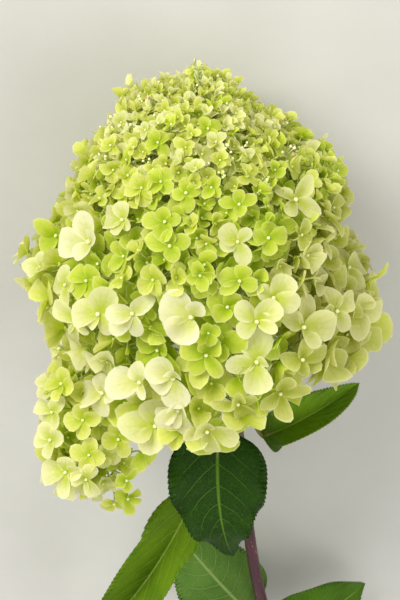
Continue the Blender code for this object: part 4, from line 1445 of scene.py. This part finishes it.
def make_leaf(name, spec, petiole, shift):
    """The blade, with its own underside, and its stalk, which runs on as the midrib below it."""
    light, dark, vein = spec["tint"]
    top = leaf_material(f"{name}_top", light, dark, vein)
    under = leaf_material(f"{name}_under", vein, light, vein)
    skin = Skin()
    skin.add(*leaf_points(spec), 0)
    blade = skin.piece(f"blade_{name}", [top, under], shift)
    shell = blade.modifiers.new("thickness", "SOLIDIFY")
    shell.thickness = LEAF_THICKNESS
    shell.offset = 0
    shell.material_offset = 1
    start, crown, tip = (Vector(point) for point in spec["midrib"])
    foot, out = off_stem(spec["node"], math.radians(spec["around"]))
    rib = [leaf_midrib(start, crown, tip, share) + RIB_DROP for share in RIB_SHARES]
    line = smooth_line([foot - GAP * out, foot + PETIOLE_SQUARE * out, start + RIB_DROP, *rib], 5)
    taper = np.interp(np.linspace(0, 1, len(line)), (0, 0.1, 0.3, 1.0), (1.25, 1.0, 0.85, 0.18))
    stalk = Skin()
    stalk.add(*tube(line, taper * PETIOLE_RADIUS, 12), 0)
    rod = stalk.piece(f"stalk_{name}", [petiole], shift)
    for piece in (blade, rod):
        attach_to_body(piece, "root")
    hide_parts(name)
    return blade


def stem_relief(walked, turns):
    """Faint ridges down the stem that wander as they go."""
    ridges = 0.00010 * np.sin(5 * turns + 9 * walked) + 0.00006 * np.sin(11 * turns - 23 * walked)
    rings = 0.00005 * np.sin(900 * walked + 2 * np.sin(3 * turns))
    return ridges + rings


def make_stem(shift):
    """The stem, its cut end, and the small buds in the corners of its leaves."""
    line = stem_line()
    skin = Skin()
    points, pattern, faces = tube(line, [stem_radius(point.y) for point in line], STEM_SIDES, stem_relief)
    foot = np.all(np.isin(faces, [*range(STEM_SIDES), len(points) - 2]), axis=1)
    skin.add(points, pattern, faces[~foot], 0)
    centre = points[-2]
    ring = points[:STEM_SIDES]
    shares = np.linspace(0, 1, CUT_RINGS)
    flat = (centre + (ring - centre)[None] * shares[:, None, None]).reshape(-1, 3)
    turns = np.arange(STEM_SIDES) / STEM_SIDES
    where = np.stack(np.broadcast_arrays(shares[:, None], turns[None, :]), axis=2).reshape(-1, 2)
    skin.add(flat, where, grid_faces(CUT_RINGS, STEM_SIDES, closed=True)[:, ::-1], 1)
    for y in LEAF_NODES:
        for around in STEM_BUD_TURNS:
            middle, ahead = stem_at(y + STEM_BUD_AHEAD)
            out = radial(around)
            bud = middle + stem_radius(y) * out * STEM_BUD_OUT
            skin.add(*ball(bud, STEM_BUD_RADIUS, out + 2 * ahead, 10, 8), 0)
    stem = skin.piece("stem_and_bark", [bark_material(), cut_material()], shift)
    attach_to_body(stem, "root")
    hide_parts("stem")


def branch_line(mass):
    """The line of a side branch from the stem to the middle of its mass."""
    start, out = off_stem(mass.attach, mass.around)
    if mass.name == "tip":
        return [rachis(STEM_END_ALONG), mass.centre]
    knee = start + BRANCH_KNEE_OUT * out + Vector((0, BRANCH_KNEE_AHEAD, 0))
    direction = (mass.centre - start - BRANCH_SWEEP * Vector((0, 1, 0))).normalized()
    run_in = mass.centre - BRANCH_RUN_IN * direction
    middle = knee.lerp(run_in, 0.5) + Vector((0, BRANCH_ARCH, 0))
    return smooth_line([start - GAP * out, knee, middle, run_in, mass.centre], BRANCH_STEPS)


def make_branches(masses, material, shift):
    """All side branches as one piece."""
    skin = Skin()
    for mass in masses:
        line = branch_line(mass)
        skin.add(*tube(line, np.linspace(BRANCH_RADIUS_FOOT, BRANCH_RADIUS_TIP, len(line)), 9), 0)
    piece = skin.piece("side_branches", [material], shift)
    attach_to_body(piece, "root")
    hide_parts(*[f"branch_{mass.name}" for mass in masses if mass.name != "tip"])


def clusters_of(florets):
    """Groups of neighbours that share one twig."""
    left = list(florets)
    while left:
        first = left.pop(0)
        left.sort(key=lambda other: (other.place - first.place).length)
        yield [first, *left[: CLUSTER - 1]]
        left = left[CLUSTER - 1 :]


def make_stalks(masses, florets, material, shift, rng):
    """A twig from the middle of each mass to each cluster, and a bent stalk from there to each floret."""
    skin = Skin()
    for mass in masses:
        for cluster in clusters_of([floret for floret in florets if floret.mass is mass]):
            backs = [floret.place - 0.9 * floret.radius * floret.facing for floret in cluster]
            fork = mass.centre.lerp(sum(backs, Vector()) / len(cluster), FORK_SHARE)
            bend = mass.centre.lerp(fork, 0.5) + jitter(rng, TWIG_BEND)
            twig = smooth_line([mass.centre, bend, fork], 3)
            skin.add(*tube(twig, np.linspace(BRANCH_RADIUS_TIP * TWIG_START, TWIG_RADIUS, len(twig)), 6), 0)
            for floret in cluster:
                behind = floret.place - min(STALK_REACH_HIGH, STALK_REACH_LOW * floret.radius) * floret.facing
                halfway = fork.lerp(behind, 0.55) + jitter(rng, STALK_BEND)
                line = smooth_line([fork, halfway, behind, floret.place - 0.0004 * floret.facing], 2)
                skin.add(*tube(line, np.linspace(STALK_RADIUS_FOOT, STALK_RADIUS_TOP, len(line)), 4), 0)
    piece = skin.piece("flower_stalks", [material], shift)
    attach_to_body(piece, "root")


def region_of(floret):
    """The piece that a floret's petals are joined into: one for each whorl of masses."""
    name = floret.mass.name
    return name if name == "tip" else "lobes" if name.startswith("lobe") else f"whorl_{name[0]}"


def steps_of(floret):
    """How finely a floret's petals are divided: out from the foot, and round the rim."""
    if floret.detail:
        return (4, 11) if floret.detail == 1 else (3, 7)
    if floret.radius > LARGE_FLORET:
        return 7, 16
    return (5, 13) if floret.radius > MIDDLE_FLORET else (4, 10)


def make_petals(florets, shift):
    """All petals, joined by region."""
    names = list(TINTS)
    materials = [petal_material(f"petal_{name}", *TINTS[name]) for name in names]
    skins = {}
    for floret in florets:
        skin = skins.setdefault(region_of(floret), Skin())
        turn, place = floret.frame()
        steps = steps_of(floret)
        for petal in floret.petals:
            points, pattern, faces = petal.shape(*steps)
            points = points @ turn + place
            points[:, 2] = np.maximum(points[:, 2], FLOOR_LEAST)
            skin.add(points, pattern, faces, names.index(floret.tint))
    for region, skin in skins.items():
        piece = skin.piece(f"petals_{region}", materials, shift)
        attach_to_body(piece, "root")
        nodes = {floret.mass.name for floret in florets if region_of(floret) == region}
        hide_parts(*sorted(f"blossom_{name}" for name in nodes))


def make_beads(florets, shift, rng):
    """The bead in each floret's heart, on the small green cup that its petals grow from."""
    skin = Skin()
    for floret in florets:
        radius = (BEAD_SMALLEST + BEAD_SHARE * floret.radius) * rng.uniform(0.9, 1.1)
        kind = 1 if floret.radius < YOUNG_RADIUS and rng.random() < YOUNG_BLUSH else 0
        centre = floret.place + 0.8 * radius * floret.facing
        if floret.detail < 2:
            sides, rings = (8, 6) if floret.radius > LARGE_FLORET else (7, 5)
            skin.add(*ball(centre, radius, floret.facing, sides, rings), kind)
            cup = floret.place - 0.35 * radius * floret.facing
            skin.add(*ball(cup, 1.6 * radius, floret.facing, 7, 4, 0.45), 2)
    materials = [
        bead_material("bead_cream", "#E9ECBC", "#CBD47E"),
        bead_material("bead_blush", "#E8DCB4", "#CFAE80"),
        bead_material("cup_green", "#B4C238", "#9BAE2C"),
    ]
    piece = skin.piece("beads", materials, shift)
    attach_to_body(piece, "root")


def make_buds(groups, green, shift, rng):
    """Groups of unopened buds on short stalks, between the young florets of the top."""
    skin = Skin()
    stalks = Skin()
    for top, normal in groups:
        fork = top - BUD_FORK * normal
        for k in range(BUDS_A_GROUP):
            lean = jitter(rng, 1)
            centre = top + rng.uniform(*BUD_HEIGHTS) * normal + BUD_SPREAD * lean
            radius = rng.uniform(*BUD_RADII)
            skin.add(*ball(centre, radius, centre - fork, 6, 4), 1 if rng.random() < BLUSH_SHARE else 0)
            stalk = [fork, fork.lerp(centre, 0.5) + BUD_SWAY * lean, centre]
            stalks.add(*tube(stalk, BUD_STALK_RADII, 4), 0)
    pale = bead_material("bud_green", "#EEF0BE", "#D2DC78")
    blush = bead_material("bud_blush", "#E4CDA4", "#C79C78")
    buds = skin.piece("buds", [pale, blush], shift)
    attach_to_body(buds, "root")
    thin = stalks.piece("bud_stalks", [green], shift)
    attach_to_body(thin, "root")


def make_floor():
    """A wide square, the floor of the studio."""
    mesh = bpy.data.meshes.new("floor")
    corners = [(-4.0, -4.0, 0), (4.0, -4.0, 0), (4.0, 4.0, 0), (-4.0, 4.0, 0)]
    mesh.from_pydata(corners, [], [(0, 1, 2, 3)])
    mesh.materials.append(floor_material())
    floor = bpy.data.objects.new("floor", mesh)
    bpy.context.scene.collection.objects.link(floor)


def make_light(name, place, size, power, colour, aim):
    """A round soft light that faces its aim."""
    data = bpy.data.lights.new(name, "AREA")
    data.shape = "DISK"
    data.size = size
    data.energy = power
    data.color = colour
    lamp = bpy.data.objects.new(name, data)
    lamp.location = place
    lamp.rotation_mode = "QUATERNION"
    lamp.rotation_quaternion = (Vector(aim) - Vector(place)).to_track_quat("-Z", "Y")
    bpy.context.scene.collection.objects.link(lamp)


def make_studio():
    """A pale floor under soft light, brightest from the upper left of the picture."""
    make_floor()
    make_light("key", (-0.70, 0.95, 0.85), 0.8, 18.5, (1.0, 0.985, 0.94), (0, 0.03, 0.06))
    make_light("fill", (0.9, -0.1, 0.9), 1.4, 8.0, (1.0, 0.99, 0.97), (0, 0, 0.05))
    world = bpy.data.worlds.new("studio")
    world.use_nodes = True
    world.node_tree.nodes["Background"].inputs[0].default_value = (1.0, 0.99, 0.97, 1)
    world.node_tree.nodes["Background"].inputs[1].default_value = 0.72
    bpy.context.scene.world = world
    bpy.context.scene.view_settings.view_transform = "Standard"


def tree_of(obj, shift):
    """The shape of a finished piece in the growing frame, for what must keep clear of it."""
    points = [vert.co - shift for vert in obj.data.vertices]
    return BVHTree.FromPolygons(points, [tuple(face.vertices) for face in obj.data.polygons])


def main():
    for obj in list(bpy.data.objects):
        bpy.data.objects.remove(obj)
    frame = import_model()
    mount = next(one for one in frame["record"]["mounts"] if one["name"] == "cut_end")
    shift = Vector(mount["pos_m"]) - STEM_LINE[0]
    masses = head_masses()
    petiole = stalk_material("petiole", "#9BA552", "#7C5A3C")
    green = stalk_material("green_stalk", "#D3DA9A", "#A9B85E")
    blades = [make_leaf(name, spec, petiole, shift) for name, spec in LEAVES.items()]
    make_stem(shift)
    make_branches(masses, green, shift)
    florets, groups = grow_florets(masses, [tree_of(blade, shift) for blade in blades])
    rng = random.Random(SEED)
    make_stalks(masses, florets, green, shift, rng)
    make_petals(florets, shift)
    make_beads(florets, shift, rng)
    make_buds(groups, green, shift, rng)
    make_studio()
    make_camera(shift)


main()
